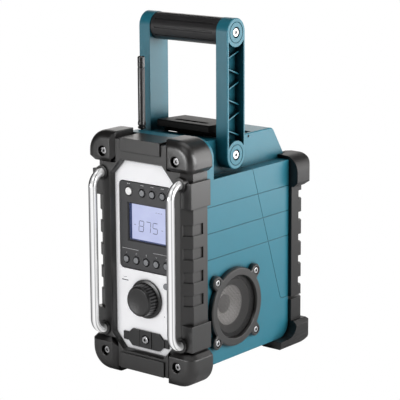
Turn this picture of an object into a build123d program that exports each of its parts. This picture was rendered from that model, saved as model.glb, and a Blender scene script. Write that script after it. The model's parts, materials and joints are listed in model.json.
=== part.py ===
from build123d import *
import os
from math import sqrt

# Jobsite radio with a folding carrying handle, corner bumpers and a rear battery door.
# Millimetres. +X points right as seen from the front, -Y is the front and +Z is up. The origin
# lies under the middle of the radio, on the floor.
# Depths along Y are counted from the front faces of the corner bumpers (see FRONT_Y).

os.makedirs("parts", exist_ok=True)

# ---------------------------------------------------------------- fits and walls
SEAT_GAP = 0.15          # two fixed pieces that drop into each other
SLIDE_GAP = 0.3          # round buttons in their holes
RUN_GAP = 0.06           # pins and shafts that turn, radial
MOVE_GAP = 0.4           # moulded pieces that pass each other
WALL = 3.0               # moulded housing wall

# ---------------------------------------------------------------- overall
BUMPER_HALF = 81.5       # half width over the corner bumpers
BODY_HALF = 68.0         # half width of the coloured housing
REAR_REACH = 237.9       # depth of the rear bumpers' backs
BAR_AXIS_REACH = 12.9    # how far the bright bars' axes stand in front of the bumpers
BAR_R = 5.25
BAR_FRONT = BAR_AXIS_REACH + BAR_R
FRONT_Y = (BAR_FRONT - REAR_REACH) / 2


def front_plane(depth):
    """A plane that faces the front at this depth, with local axes X and Z."""
    return Plane(origin=(0, FRONT_Y + depth, 0), x_dir=(1, 0, 0), z_dir=(0, -1, 0))


def side_plane(x):
    """A plane that faces +X at this x, with local axes depth and Z."""
    return Plane(origin=(x, FRONT_Y, 0), x_dir=(0, 1, 0), z_dir=(1, 0, 0))


def plan_plane(z):
    """A level plane at this height, with local axes X and depth."""
    return Plane(origin=(0, FRONT_Y, z), x_dir=(1, 0, 0), z_dir=(0, 0, 1))


def keep(piece, label):
    """Label a finished piece and write its STEP file."""
    piece.part.label = label
    export_step(piece.part, f"parts/{label}.step")


def mirrored(source):
    """The same piece for the other side of the centre plane."""
    with BuildPart() as other:
        mirror(source.part, about=Plane.YZ)
    return other


# ---------------------------------------------------------------- front guard
TOP_BUMPER = (260.5, 298.0)
BOTTOM_BUMPER = (0.0, 43.0)
BAR_TOP_LEG = TOP_BUMPER[0] - 14.0
BAR_BOTTOM_LEG = BOTTOM_BUMPER[1] + 10.0
GUARD_FACE = 5.0         # depth of the frame's front face
GUARD_BACK = 39.7
GUARD_BOTTOM = 8.0
GUARD_TOP = 290.0
GUARD_CORNER_R = 20.0
STRIP_HALF = 72.5        # half width over the side strips
STRIP_BEVEL_X = 12.9
STRIP_BEVEL_D = 8.5
FACE_HALF = STRIP_HALF - STRIP_BEVEL_X
BLOCK_HALF = 76.3        # the raised blocks that carry the bars
BLOCK_FACE = 5.5
BLOCK_INNER = 58.0
BLOCK_BACK = 40.8
UPPER_BLOCK = (BAR_TOP_LEG - 28.0, BAR_TOP_LEG + 3.0)
LOWER_BLOCK = (BAR_BOTTOM_LEG - 7.0, BAR_BOTTOM_LEG + 24.5)
WINDOW_H = 13.4
WINDOW_PITCH = 28.3
WINDOW_COUNT = 4
WINDOW_FIRST_Z = 106.9   # centre of the lowest window
WINDOW_DEEP = 1.7
WINDOW_INNER = 62.0
WINDOW_BACK = 31.5
TOP_BOSS_HALF = 30.8
TOP_BOSS = (276.4, 292.3)
BOSS_FACE = 3.0
BOTTOM_BOSS_HALF = 34.0
BOTTOM_BOSS = (8.0, 27.0)
LIP_BEVEL = 2.0

# the eight-sided opening and panel
OCT_HALF = 47.2
OCT_FLAT_HALF = 30.9
OCT_BOTTOM = 31.8
OCT_TOP = 264.0
OCT_CORNER_H = 18.2
PANEL_D = 12.6
PANEL_T = 3.0
PANEL_HIDDEN = 3.0       # panel margin behind the lip

# housing neck that the guard is pushed over
NECK_HALF = 62.0
NECK_BOTTOM = 16.0
NECK_TOP = 281.0
NECK_R = 12.0

# bright bars
BAR_X = 60.3
BAR_BEND_R = 16.0
BAR_SOCKET_DEEP = PANEL_D - GUARD_FACE
GROMMET_R = 8.6
GROMMET_OUT = 2.4


def octagon(margin):
    """The front opening's eight-sided outline, grown by a margin."""
    low, high = OCT_BOTTOM, OCT_TOP
    with BuildSketch() as outline:
        with BuildLine():
            Polyline(
                (-OCT_FLAT_HALF, low),
                (OCT_FLAT_HALF, low),
                (OCT_HALF, low + OCT_CORNER_H),
                (OCT_HALF, high - OCT_CORNER_H),
                (OCT_FLAT_HALF, high),
                (-OCT_FLAT_HALF, high),
                (-OCT_HALF, high - OCT_CORNER_H),
                (-OCT_HALF, low + OCT_CORNER_H),
                close=True,
            )
        make_face()
        if margin:
            offset(amount=margin, kind=Kind.INTERSECTION, mode=Mode.REPLACE)
    return outline.sketch_local


def strip_outline():
    """The plan outline of the frame with its bevelled front corners."""
    with BuildSketch() as outline:
        with BuildLine():
            Polyline(
                (-FACE_HALF, GUARD_FACE),
                (FACE_HALF, GUARD_FACE),
                (STRIP_HALF, GUARD_FACE + STRIP_BEVEL_D),
                (STRIP_HALF, GUARD_BACK),
                (-STRIP_HALF, GUARD_BACK),
                (-STRIP_HALF, GUARD_FACE + STRIP_BEVEL_D),
                close=True,
            )
        make_face()
    return outline.sketch_local


# corner bumpers: one outline for the top pair, one for the bottom pair
BUMPER_INNER = 39.5
BUMPER_BEVEL = 5.5
BUMPER_EDGE_R = 5.5
BUMPER_FACE_HALF = 79.2  # where the side begins behind the rounded edge
BUMPER_CROWN_D = 18.0    # depth at which the side reaches its full width
BUMPER_BACK = 38.0
BUMPER_PLATE = 8.0       # thickness of the bumper's front wall
TOP_BUMPER_R = 24.0
BOTTOM_BUMPER_R = 27.0
SCREW_X = 56.05
TOP_SCREW_Z = TOP_BUMPER[0] + 13.2
BOTTOM_SCREW_Z = BOTTOM_BUMPER[1] - 17.1
SCREW_HEAD_R = 4.7
SCREW_HEAD_T = 2.5
SCREW_R = 2.0
SCREW_LENGTH = 16.0
SCREW_SINK = 2.9
RECESS_R = 6.6


def bumper_plan():
    """The plan outline of a right-hand front bumper."""
    edge = BUMPER_FACE_HALF - BUMPER_EDGE_R
    with BuildSketch() as outline:
        with BuildLine():
            Polyline(
                (BUMPER_INNER, BUMPER_BACK),
                (BUMPER_INNER, BUMPER_BEVEL),
                (BUMPER_INNER + BUMPER_BEVEL, 0),
                (edge, 0),
            )
            RadiusArc((edge, 0), (BUMPER_FACE_HALF, BUMPER_EDGE_R), -BUMPER_EDGE_R)
            Polyline(
                (BUMPER_FACE_HALF, BUMPER_EDGE_R),
                (BUMPER_HALF, BUMPER_CROWN_D),
                (BUMPER_HALF, BUMPER_BACK),
                (BUMPER_INNER, BUMPER_BACK),
            )
        make_face()
    return outline.sketch_local


def guard_corner_seat():
    """Cut the guard's corner block out of a bumper."""
    with BuildSketch(front_plane(BUMPER_PLATE)) as seat:
        with Locations((0, (GUARD_TOP + GUARD_BOTTOM) / 2)):
            RectangleRounded(
                2 * (STRIP_HALF + SEAT_GAP),
                GUARD_TOP - GUARD_BOTTOM + 2 * SEAT_GAP,
                GUARD_CORNER_R + SEAT_GAP,
            )
    extrude(seat.sketch, amount=BUMPER_PLATE - GUARD_BACK, mode=Mode.SUBTRACT)


def screw_recess(z):
    """Cut the recess and the hole of the screw that holds a front bumper."""
    for radius, depth in (
        (RECESS_R, SCREW_SINK + SCREW_HEAD_T),
        (SCREW_R + RUN_GAP, BUMPER_PLATE),
    ):
        with BuildSketch(front_plane(0)) as hole:
            with Locations((SCREW_X, z)):
                Circle(radius)
        extrude(hole.sketch, amount=-depth, mode=Mode.SUBTRACT)


with BuildPart() as front_bumper_top_right:
    low, high = TOP_BUMPER
    with BuildSketch(front_plane(0)):
        with BuildLine():
            Polyline(
                (BUMPER_HALF, high - TOP_BUMPER_R),
                (BUMPER_HALF, low + 5.5),
                (BUMPER_HALF - 5.5, low),
                (BUMPER_INNER + 8.0, low),
                (BUMPER_INNER, low + 8.0),
                (BUMPER_INNER, high),
                (BUMPER_HALF - TOP_BUMPER_R, high),
            )
            RadiusArc(
                (BUMPER_HALF - TOP_BUMPER_R, high),
                (BUMPER_HALF, high - TOP_BUMPER_R),
                TOP_BUMPER_R,
            )
        make_face()
    extrude(amount=-BUMPER_BACK)
    with BuildSketch(plan_plane(low)):
        add(bumper_plan())
    extrude(amount=high - low, mode=Mode.INTERSECT)
    guard_corner_seat()
    screw_recess(TOP_SCREW_Z)

with BuildPart() as front_bumper_bottom_right:
    low, high = BOTTOM_BUMPER
    with BuildSketch(front_plane(0)):
        with BuildLine():
            Polyline(
                (BUMPER_HALF, low + BOTTOM_BUMPER_R),
                (BUMPER_HALF, high - 3.0),
                (BUMPER_HALF - 3.0, high),
                (BUMPER_INNER + 11.0, high),
                (BUMPER_INNER, high - 11.0),
                (BUMPER_INNER, low),
                (BUMPER_HALF - BOTTOM_BUMPER_R, low),
            )
            RadiusArc(
                (BUMPER_HALF - BOTTOM_BUMPER_R, low),
                (BUMPER_HALF, low + BOTTOM_BUMPER_R),
                -BOTTOM_BUMPER_R,
            )
        make_face()
    extrude(amount=-BUMPER_BACK)
    with BuildSketch(plan_plane(low)):
        add(bumper_plan())
    extrude(amount=high - low, mode=Mode.INTERSECT)
    guard_corner_seat()
    screw_recess(BOTTOM_SCREW_Z)

keep(front_bumper_top_right, "front_bumper_top_right")
keep(front_bumper_bottom_right, "front_bumper_bottom_right")
keep(mirrored(front_bumper_top_right), "front_bumper_top_left")
keep(mirrored(front_bumper_bottom_right), "front_bumper_bottom_left")

with BuildPart() as front_guard:
    with BuildSketch(plan_plane(GUARD_BOTTOM)):
        add(strip_outline())
    extrude(amount=GUARD_TOP - GUARD_BOTTOM)
    with BuildSketch(front_plane(GUARD_FACE)):
        with Locations((0, (GUARD_TOP + GUARD_BOTTOM) / 2)):
            RectangleRounded(2 * STRIP_HALF, GUARD_TOP - GUARD_BOTTOM, GUARD_CORNER_R)
    extrude(amount=GUARD_FACE - GUARD_BACK, mode=Mode.INTERSECT)
    # blocks at the sides that carry the bars, and the bosses above and below the panel
    block_width = BLOCK_HALF - BLOCK_INNER
    for low, high in (UPPER_BLOCK, LOWER_BLOCK):
        with BuildSketch(plan_plane(low)):
            for side in (-1, 1):
                middle = side * (BLOCK_INNER + block_width / 2)
                with Locations((middle, (BLOCK_FACE + BLOCK_BACK) / 2)):
                    Rectangle(block_width, BLOCK_BACK - BLOCK_FACE)
        extrude(amount=high - low)
    for half, (low, high) in ((TOP_BOSS_HALF, TOP_BOSS), (BOTTOM_BOSS_HALF, BOTTOM_BOSS)):
        with BuildSketch(front_plane(BOSS_FACE)):
            with Locations((0, (low + high) / 2)):
                Rectangle(2 * half, high - low)
        extrude(amount=BOSS_FACE - GUARD_BACK)
    # round collars that the bars' legs enter
    for z in (BAR_TOP_LEG, BAR_BOTTOM_LEG):
        with BuildSketch(front_plane(GUARD_FACE - GROMMET_OUT)):
            with Locations((-BAR_X, z), (BAR_X, z)):
                Circle(GROMMET_R)
        extrude(amount=-(GROMMET_OUT + BAR_SOCKET_DEEP))
    # hollow behind the face for the housing's neck, and the eight-sided opening with its lip
    with BuildSketch(front_plane(PANEL_D)):
        with Locations((0, (NECK_TOP + NECK_BOTTOM) / 2)):
            RectangleRounded(2 * NECK_HALF, NECK_TOP - NECK_BOTTOM, NECK_R)
    extrude(amount=PANEL_D - BLOCK_BACK, mode=Mode.SUBTRACT)
    with BuildSketch(front_plane(GUARD_FACE)):
        add(octagon(LIP_BEVEL))
    with BuildSketch(front_plane(GUARD_FACE + 2 * LIP_BEVEL)):
        add(octagon(0))
    loft(mode=Mode.SUBTRACT)
    with BuildSketch(front_plane(PANEL_D)):
        add(octagon(0))
    extrude(amount=PANEL_D - GUARD_FACE, mode=Mode.SUBTRACT)
    # seats of the four bumpers' front walls, screw holes and bar sockets
    with BuildSketch(front_plane(BOSS_FACE)):
        for side in (-1, 1):
            middle = side * (BUMPER_INNER + STRIP_HALF) / 2
            for low, high in (TOP_BUMPER, BOTTOM_BUMPER):
                with Locations((middle, (low + high) / 2)):
                    Rectangle(STRIP_HALF - BUMPER_INNER, high - low)
    extrude(amount=BOSS_FACE - BUMPER_PLATE, mode=Mode.SUBTRACT)
    with BuildSketch(front_plane(BUMPER_PLATE)):
        for z in (TOP_SCREW_Z, BOTTOM_SCREW_Z):
            with Locations((-SCREW_X, z), (SCREW_X, z)):
                Circle(SCREW_R + RUN_GAP)
    extrude(amount=-(PANEL_D - BUMPER_PLATE), mode=Mode.SUBTRACT)
    with BuildSketch(front_plane(GUARD_FACE - GROMMET_OUT)):
        for z in (BAR_TOP_LEG, BAR_BOTTOM_LEG):
            with Locations((-BAR_X, z), (BAR_X, z)):
                Circle(BAR_R + RUN_GAP)
    extrude(amount=-(GROMMET_OUT + BAR_SOCKET_DEEP), mode=Mode.SUBTRACT)
    # shallow windows that wrap the corners of both side strips
    for row in range(WINDOW_COUNT):
        bottom = WINDOW_FIRST_Z + row * WINDOW_PITCH - WINDOW_H / 2
        with BuildSketch(plan_plane(bottom)):
            add(strip_outline())
            offset(amount=-WINDOW_DEEP, kind=Kind.INTERSECTION, mode=Mode.SUBTRACT)
            window_d = (GUARD_FACE + WINDOW_BACK) / 2
            with Locations((-STRIP_HALF, window_d), (STRIP_HALF, window_d)):
                Rectangle(
                    2 * (STRIP_HALF - WINDOW_INNER),
                    WINDOW_BACK - GUARD_FACE,
                    mode=Mode.INTERSECT,
                )
        extrude(amount=WINDOW_H, mode=Mode.SUBTRACT)
keep(front_guard, "front_guard")

# ---------------------------------------------------------------- bright bars


def guard_bar(side):
    """Bend one bar with both its legs, on the left (-1) or the right (1)."""
    foot = GUARD_FACE + BAR_SOCKET_DEEP - SEAT_GAP
    path_plane = side_plane(side * BAR_X)
    with BuildPart() as bar:
        with BuildLine(path_plane) as path:
            FilletPolyline(
                (foot, BAR_BOTTOM_LEG),
                (-BAR_AXIS_REACH, BAR_BOTTOM_LEG),
                (-BAR_AXIS_REACH, BAR_TOP_LEG),
                (foot, BAR_TOP_LEG),
                radius=BAR_BEND_R,
            )
        with BuildSketch(front_plane(foot)):
            with Locations((side * BAR_X, BAR_BOTTOM_LEG)):
                Circle(BAR_R)
        sweep(path=path.line)
    return bar


keep(guard_bar(-1), "guard_bar_left")
keep(guard_bar(1), "guard_bar_right")

# ---------------------------------------------------------------- control panel
KEYPAD_HALF = 41.0
KEYPAD = (131.0, 239.0)
KEYPAD_R = 6.0
KEYPAD_SINK = 0.5
KEYPAD_BACK = 16.6
SCREEN_HALF = 28.2
SCREEN = (167.0, 211.5)
SCREEN_X = 1.0
SCREEN_SINK = 2.0
BUTTON_R = 3.8
POWER_R = 4.7
BUTTON_OUT = 1.3         # how far a button stands out of the keypad
BUTTON_TRAVEL = 0.7
RING_OUT = 1.2           # width of the dark countersink around a button
STEM_R = 2.4
FLANGE_EXTRA = 1.2
TOP_ROW_Z = 226.4
POWER_X = -26.1
TOP_ROW_X = (-5.2, 10.2, 26.1)
PRESET_Z = 142.5
PRESET_PITCH = 15.6
PRESET_COUNT = 5
SIDE_BUTTON = (30.8, 117.9)
KNOB_X = 1.0
KNOB_Z = 98.0
SHAFT_R = 3.0
AUX_Z = 47.1
AUX_HALF_H = 10.5
AUX_MIDDLE_HALF = 9.0
AUX_HALF = 28.0
AUX_CORNER = 7.0
AUX_TAB_HALF = 35.5
AUX_TAB_HALF_H = 5.0
AUX_T = 2.6
SOCKET_X = 19.0
SOCKET_R = 4.6
SOCKET_SINK = 0.3
SOCKET_CASE = 9.0
JACK_R = 1.8
DC_R = 2.9
DC_PIN_R = 0.95
BOARD_D = 23.0
BOARD_T = 1.6
BOARD_HALF = 41.5
BOARD = (62.0, 240.0)

preset_x = [PRESET_PITCH * (n - (PRESET_COUNT - 1) / 2) for n in range(PRESET_COUNT)]
keypad_buttons = [(POWER_X, TOP_ROW_Z, POWER_R)]
keypad_buttons += [(x, TOP_ROW_Z, BUTTON_R) for x in TOP_ROW_X]
keypad_buttons += [(x, PRESET_Z, BUTTON_R) for x in preset_x]
keypad_middle = (0, (KEYPAD[0] + KEYPAD[1]) / 2)
keypad_height = KEYPAD[1] - KEYPAD[0]
keypad_face = PANEL_D + KEYPAD_SINK
screen_middle = (SCREEN_X, (SCREEN[0] + SCREEN[1]) / 2)
screen_height = SCREEN[1] - SCREEN[0]

with BuildPart() as control_panel:
    with BuildSketch(front_plane(PANEL_D)):
        add(octagon(PANEL_HIDDEN - SEAT_GAP))
        with Locations(keypad_middle):
            RectangleRounded(
                2 * (KEYPAD_HALF + SEAT_GAP),
                keypad_height + 2 * SEAT_GAP,
                KEYPAD_R + SEAT_GAP,
                mode=Mode.SUBTRACT,
            )
        with Locations((KNOB_X, KNOB_Z)):
            Circle(SHAFT_R + 2.0, mode=Mode.SUBTRACT)
        with Locations(SIDE_BUTTON):
            Circle(BUTTON_R + SLIDE_GAP, mode=Mode.SUBTRACT)
        with Locations((-SOCKET_X, AUX_Z), (SOCKET_X, AUX_Z)):
            Circle(SOCKET_R + SEAT_GAP, mode=Mode.SUBTRACT)
        with Locations((0, AUX_Z)):
            Circle(SCREW_R + RUN_GAP, mode=Mode.SUBTRACT)
    extrude(amount=-PANEL_T)
keep(control_panel, "control_panel")

with BuildPart() as keypad_frame:
    with BuildSketch(front_plane(keypad_face)):
        with Locations(keypad_middle):
            RectangleRounded(2 * KEYPAD_HALF, keypad_height, KEYPAD_R)
    extrude(amount=keypad_face - KEYPAD_BACK)
    with BuildSketch(front_plane(keypad_face)):
        with Locations(screen_middle):
            Rectangle(2 * SCREEN_HALF, screen_height)
        for x, z, radius in keypad_buttons:
            with Locations((x, z)):
                Circle(radius + SLIDE_GAP)
    extrude(amount=keypad_face - KEYPAD_BACK, mode=Mode.SUBTRACT)
    rims = keypad_frame.edges().filter_by(GeomType.CIRCLE).group_by(Axis.Y)[0]
    chamfer(rims, RING_OUT)
    screen_rim = keypad_frame.faces().sort_by(Axis.Y)[0].inner_wires()
    straight = screen_rim.edges().filter_by(GeomType.LINE)
    chamfer(straight, SCREEN_SINK * 0.8)
keep(keypad_frame, "keypad_frame")

with BuildPart() as display_window:
    with BuildSketch(front_plane(keypad_face + SCREEN_SINK)):
        with Locations(screen_middle):
            Rectangle(2 * (SCREEN_HALF - SEAT_GAP), screen_height - 2 * SEAT_GAP)
    extrude(amount=-1.0)
keep(display_window, "display_window")

module_front = KEYPAD_BACK
with BuildPart() as display_module:
    with BuildSketch(front_plane(module_front)):
        with Locations(screen_middle):
            Rectangle(2 * SCREEN_HALF + 5, screen_height + 5)
    extrude(amount=module_front - BOARD_D)
    with BuildSketch(front_plane(keypad_face + SCREEN_SINK + 1.0)):
        with Locations(screen_middle):
            Rectangle(2 * (SCREEN_HALF - SEAT_GAP), screen_height - 2 * SEAT_GAP)
    extrude(amount=keypad_face + SCREEN_SINK + 1.0 - module_front)
keep(display_module, "display_module")


SWITCH_R = 1.8
SWITCH_GAP = 0.15
stem_end = BOARD_D - 3.0


def push_button(x, z, radius, face, back):
    """A round button: cap, retaining flange behind the plate, and stem to its switch."""
    with BuildPart() as button:
        with BuildSketch(front_plane(face - BUTTON_OUT)):
            with Locations((x, z)):
                Circle(radius)
        extrude(amount=face - BUTTON_OUT - back - BUTTON_TRAVEL)
        crown = button.edges().filter_by(GeomType.CIRCLE).sort_by(Axis.Y)[0]
        fillet(crown, 0.8)
        with BuildSketch(front_plane(back + SLIDE_GAP)):
            with Locations((x, z)):
                Circle(radius + FLANGE_EXTRA)
        extrude(amount=-1.2)
        with BuildSketch(front_plane(back + 1.0)):
            with Locations((x, z)):
                Circle(STEM_R)
        extrude(amount=back + 1.0 - stem_end)
    return button


button_names = ["power_button", "band_button", "sleep_button", "tone_button"]
button_names += [f"preset_button_{n + 1}" for n in range(PRESET_COUNT)]
for button_name, (x, z, radius) in zip(button_names, keypad_buttons):
    keep(push_button(x, z, radius, keypad_face, KEYPAD_BACK), button_name)
mode_button = push_button(*SIDE_BUTTON, BUTTON_R, PANEL_D, PANEL_D + PANEL_T)
keep(mode_button, "mode_button")

with BuildPart() as control_board:
    board_height = BOARD[1] - BOARD[0]
    with BuildSketch(front_plane(BOARD_D)):
        with Locations((0, (BOARD[0] + BOARD[1]) / 2)):
            Rectangle(2 * BOARD_HALF, board_height)
    extrude(amount=-BOARD_T)
    switch_front = stem_end + BUTTON_TRAVEL + SWITCH_GAP
    with BuildSketch(front_plane(switch_front)):
        for x, z, _ in keypad_buttons:
            with Locations((x, z)):
                Rectangle(2 * SWITCH_R, 2 * SWITCH_R)
        with Locations(SIDE_BUTTON):
            Rectangle(2 * SWITCH_R, 2 * SWITCH_R)
    extrude(amount=switch_front - BOARD_D)
keep(control_board, "control_board")

# ---------------------------------------------------------------- tuning knob
SKIRT_R = 23.7
SKIRT_T = 2.2
KNOB_R = 20.0
KNOB_TIP_R = 18.0
KNOB_FACE = -4.6         # depth of the knob's front face, ahead of the bumpers
KNOB_FLUTES = 24
FLUTE_R = 1.1
KNOB_LIFT = 0.35         # air between the skirt and the panel
DISH = 1.2
DISH_R = 14.6
skirt_back = PANEL_D - KNOB_LIFT
encoder_tip = 4.0        # shaft end, depth

with BuildPart() as tuning_knob:
    with BuildSketch(Plane(origin=(KNOB_X, FRONT_Y, KNOB_Z), x_dir=(1, 0, 0), z_dir=(0, 0, 1))):
        with BuildLine():
            Polyline(
                (0, skirt_back),
                (SKIRT_R - 0.6, skirt_back),
                (SKIRT_R, skirt_back - 0.6),
                (SKIRT_R, skirt_back - SKIRT_T),
                (KNOB_R, skirt_back - SKIRT_T - 0.8),
                (KNOB_TIP_R + 0.5, KNOB_FACE + 2.5),
                (KNOB_TIP_R - 1.6, KNOB_FACE),
                (DISH_R, KNOB_FACE),
            )
            ThreePointArc(
                (DISH_R, KNOB_FACE),
                (DISH_R * 0.55, KNOB_FACE + DISH * 0.72),
                (SHAFT_R, KNOB_FACE + DISH),
            )
            Polyline(
                (SHAFT_R, KNOB_FACE + DISH),
                (0, KNOB_FACE + DISH),
                (0, skirt_back),
            )
        make_face()
    revolve(axis=Axis((KNOB_X, FRONT_Y, KNOB_Z), (0, 1, 0)))
    with BuildSketch(front_plane(skirt_back - SKIRT_T - 1.6)):
        with Locations((KNOB_X, KNOB_Z)):
            with PolarLocations(KNOB_R + 0.3, KNOB_FLUTES):
                Circle(FLUTE_R)
    extrude(amount=20, mode=Mode.SUBTRACT)
    with BuildSketch(front_plane(skirt_back)):
        with Locations((KNOB_X, KNOB_Z)):
            Circle(SHAFT_R + RUN_GAP)
    extrude(amount=skirt_back - encoder_tip + 0.4, mode=Mode.SUBTRACT)
keep(tuning_knob, "tuning_knob")

with BuildPart() as knob_encoder:
    with BuildSketch(front_plane(PANEL_D + PANEL_T + 0.2)):
        with Locations((KNOB_X, KNOB_Z)):
            RectangleRounded(13, 13, 1)
    extrude(amount=-(BOARD_D - PANEL_D - PANEL_T - 0.2))
    with BuildSketch(front_plane(PANEL_D + PANEL_T + 0.2)):
        with Locations((KNOB_X, KNOB_Z)):
            Circle(SHAFT_R)
    extrude(amount=PANEL_D + PANEL_T + 0.2 - encoder_tip)
keep(knob_encoder, "knob_encoder")

# ---------------------------------------------------------------- socket cover
cover_face = PANEL_D - AUX_T
FLAP_GAP = 0.25

with BuildPart() as aux_cover:
    with BuildSketch(front_plane(cover_face)):
        with Locations((0, AUX_Z)):
            Rectangle(2 * AUX_MIDDLE_HALF, 2 * AUX_HALF_H)
    extrude(amount=-AUX_T)
    with BuildSketch(front_plane(cover_face)):
        with Locations((0, AUX_Z)):
            Circle(RECESS_R - 0.8)
    extrude(amount=-1.2, mode=Mode.SUBTRACT)
    with BuildSketch(front_plane(cover_face)):
        with Locations((0, AUX_Z)):
            Circle(SCREW_R + RUN_GAP)
    extrude(amount=-AUX_T, mode=Mode.SUBTRACT)
keep(aux_cover, "socket_cover")

with BuildPart() as flap_right:
    inner = AUX_MIDDLE_HALF + FLAP_GAP + AUX_T / 2
    top = AUX_Z + AUX_HALF_H
    bottom = AUX_Z - AUX_HALF_H
    with BuildSketch(front_plane(cover_face)):
        with BuildLine():
            Polyline(
                (inner, bottom),
                (AUX_HALF - AUX_CORNER, bottom),
                (AUX_HALF, bottom + AUX_CORNER),
                (AUX_HALF, AUX_Z - AUX_TAB_HALF_H),
                (AUX_TAB_HALF, AUX_Z - AUX_TAB_HALF_H),
                (AUX_TAB_HALF, AUX_Z + AUX_TAB_HALF_H),
                (AUX_HALF, AUX_Z + AUX_TAB_HALF_H),
                (AUX_HALF, top - AUX_CORNER),
                (AUX_HALF - AUX_CORNER, top),
                (inner, top),
                close=True,
            )
        make_face()
    extrude(amount=-AUX_T)
    with BuildSketch(front_plane(cover_face)):
        with Locations(((AUX_HALF + AUX_TAB_HALF) / 2 + 1.0, AUX_Z)):
            Rectangle(AUX_TAB_HALF - AUX_HALF - 1.0, 2 * AUX_TAB_HALF_H + 1.0)
    extrude(amount=-0.8, mode=Mode.SUBTRACT)
    # round inner edge that the flap turns on
    with BuildSketch(plan_plane(bottom)):
        with Locations((inner, cover_face + AUX_T / 2)):
            Circle(AUX_T / 2)
    extrude(amount=top - bottom)
keep(flap_right, "socket_flap_right")
keep(mirrored(flap_right), "socket_flap_left")


def panel_socket(side, bore, pin):
    """A round socket in the panel behind a flap, with its body and its centre pin."""
    with BuildPart() as socket:
        with BuildSketch(front_plane(PANEL_D + SOCKET_SINK)) as barrel:
            with Locations((side * SOCKET_X, AUX_Z)):
                Circle(SOCKET_R)
        extrude(barrel.sketch, amount=SOCKET_SINK - PANEL_T)
        with BuildSketch(front_plane(PANEL_D + PANEL_T)) as case:
            with Locations((side * SOCKET_X, AUX_Z)):
                Rectangle(2 * SOCKET_R + 2, 2 * SOCKET_R + 2)
        extrude(case.sketch, amount=-SOCKET_CASE)
        with BuildSketch(front_plane(PANEL_D + SOCKET_SINK)) as hole:
            with Locations((side * SOCKET_X, AUX_Z)):
                Circle(bore)
                if pin:
                    Circle(pin, mode=Mode.SUBTRACT)
        extrude(hole.sketch, amount=-SOCKET_CASE, mode=Mode.SUBTRACT)
    return socket


keep(panel_socket(-1, JACK_R, 0), "aux_socket")
keep(panel_socket(1, DC_R, DC_PIN_R), "dc_socket")

# ---------------------------------------------------------------- housing, seams and bay
# loudspeakers
SPEAKER_D = 94.2
SPEAKER_Z = 82.6
SPEAKER_OPEN_R = 38.0
SPEAKER_RING_R = 48.3
SPEAKER_EAR = 37.4
SPEAKER_EAR_R = 8.2
SPEAKER_OUT = 7.0        # how far the guard stands out of the housing
BASKET_R = 44.0
BASKET_T = 3.6
BASKET_DEEP = 22.0       # how far the wide bore goes in from the side
MAGNET_R = 24.0
MAGNET_T = 12.0
SPEAKER_SEAT_R = 50.0
SPEAKER_SCREW_R = 1.6
SPEAKER_HEAD_R = 3.9

# battery bay behind the bulkhead
BAY_HALF = 42.0
CAVITY_REAR = SPEAKER_D + MAGNET_R + 4.8
BAY_FRONT = CAVITY_REAR + 5.0
BAY = (84.0, 236.0)
CAVITY_FRONT = 27.0
BOARD_WELL = 42.0
BOARD_LEDGE = 39.0

# rim, body and seams
RIM_FRONT = 41.0
RIM_BACK = 57.5
RIM_TOP = 292.0
RIM_BOTTOM = 10.0
RIM_R = 21.0
BODY_BOTTOM = 18.0
SHOULDER_Z = 245.0
BODY_REAR = 206.8        # where the rear guards start on the sides
CORE_REAR = 224.0        # rear wall between the guards' strips
CORE_HALF = 60.0
CORE_BOTTOM = 22.0
CORE_TOP = 65.6
TOWER_HALF = 50.5
TOWER_TOP = 276.0
SEAM_TOP_D = BAY_FRONT + 4.5
SEAM_FOOT_D = 190.3
SEAM_FOOT_Z = 69.8
SEAM_R = 5.0
SEAM_GAP = 0.5
REAR_FOOT_R = 18.0
LINE_Z = (212.6, 180.8, 149.0)
LINE_DEEP = 0.5
LINE_H = 0.9
BOSS_DEEP = 8.0
ANTENNA_X = -50.0
ANTENNA_D = 66.0
ANTENNA_POST_R = 6.5
KEEPER = (SEAM_TOP_D - 24.0, SEAM_TOP_D - 11.5)    # flat floor of the latch's keeper
KEEPER_HALF = 14.0
KEEPER_Z = 269.6
KEEPER_RISE = 0.45       # slope of its rear ramp, lower than the door's first path
POCKET = (RIM_BACK, SEAM_TOP_D - 1.5)
POCKET_DEEP = 8.5
CELLAR_TOP = SHOULDER_Z - WALL - POCKET_DEEP
POCKET_X = (53.5, 65.0)
PIVOT_D = 100.6
PIVOT_Z = 267.6
PIVOT_R = 4.0
PIVOT_BOSS_R = 13.0
PIVOT_ROOT = 38.0        # x at which the pivot bolts end inside the tower
HINGE_D = 231.0
HINGE_Z = 67.0
KNUCKLE_R = 4.0
ROOT_KNUCKLE = (30.0, 43.0)
DOOR_KNUCKLE = (16.0, 29.5)
REAR_SCREW = (52.0, 30.0)
SCREW_END = SCREW_SINK + SCREW_HEAD_T + SCREW_LENGTH
REAR_SCREW_END = 22.0    # how far the rear screws' holes reach in from the rear bumpers
ANTENNA_STUD_R = 3.5
ANTENNA_STUD_DEEP = 8.0
TERMINAL_HALF = 16.0
TERMINAL_Z = (140.0, 172.0)
PIN_R = 1.6

speaker_ears = [(SPEAKER_D + a, SPEAKER_Z + b) for a in (-SPEAKER_EAR, SPEAKER_EAR)
                for b in (-SPEAKER_EAR, SPEAKER_EAR)]


def upright(half, low, high, radius):
    """An upright rounded outline between two heights."""
    with BuildSketch() as outline:
        with Locations((0, (low + high) / 2)):
            RectangleRounded(2 * half, high - low, radius)
    return outline.sketch_local


def block(half, x_low, d_range, z_range, mode):
    """Add or cut a straight block from |x| x_low to half on both sides, in the open part."""
    with BuildSketch(plan_plane(z_range[0])) as base:
        middle = (d_range[0] + d_range[1]) / 2
        for side in (-1, 1):
            with Locations((side * (half + x_low) / 2, middle)):
                Rectangle(half - x_low, d_range[1] - d_range[0])
    extrude(base.sketch, amount=z_range[1] - z_range[0], mode=mode)


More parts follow.
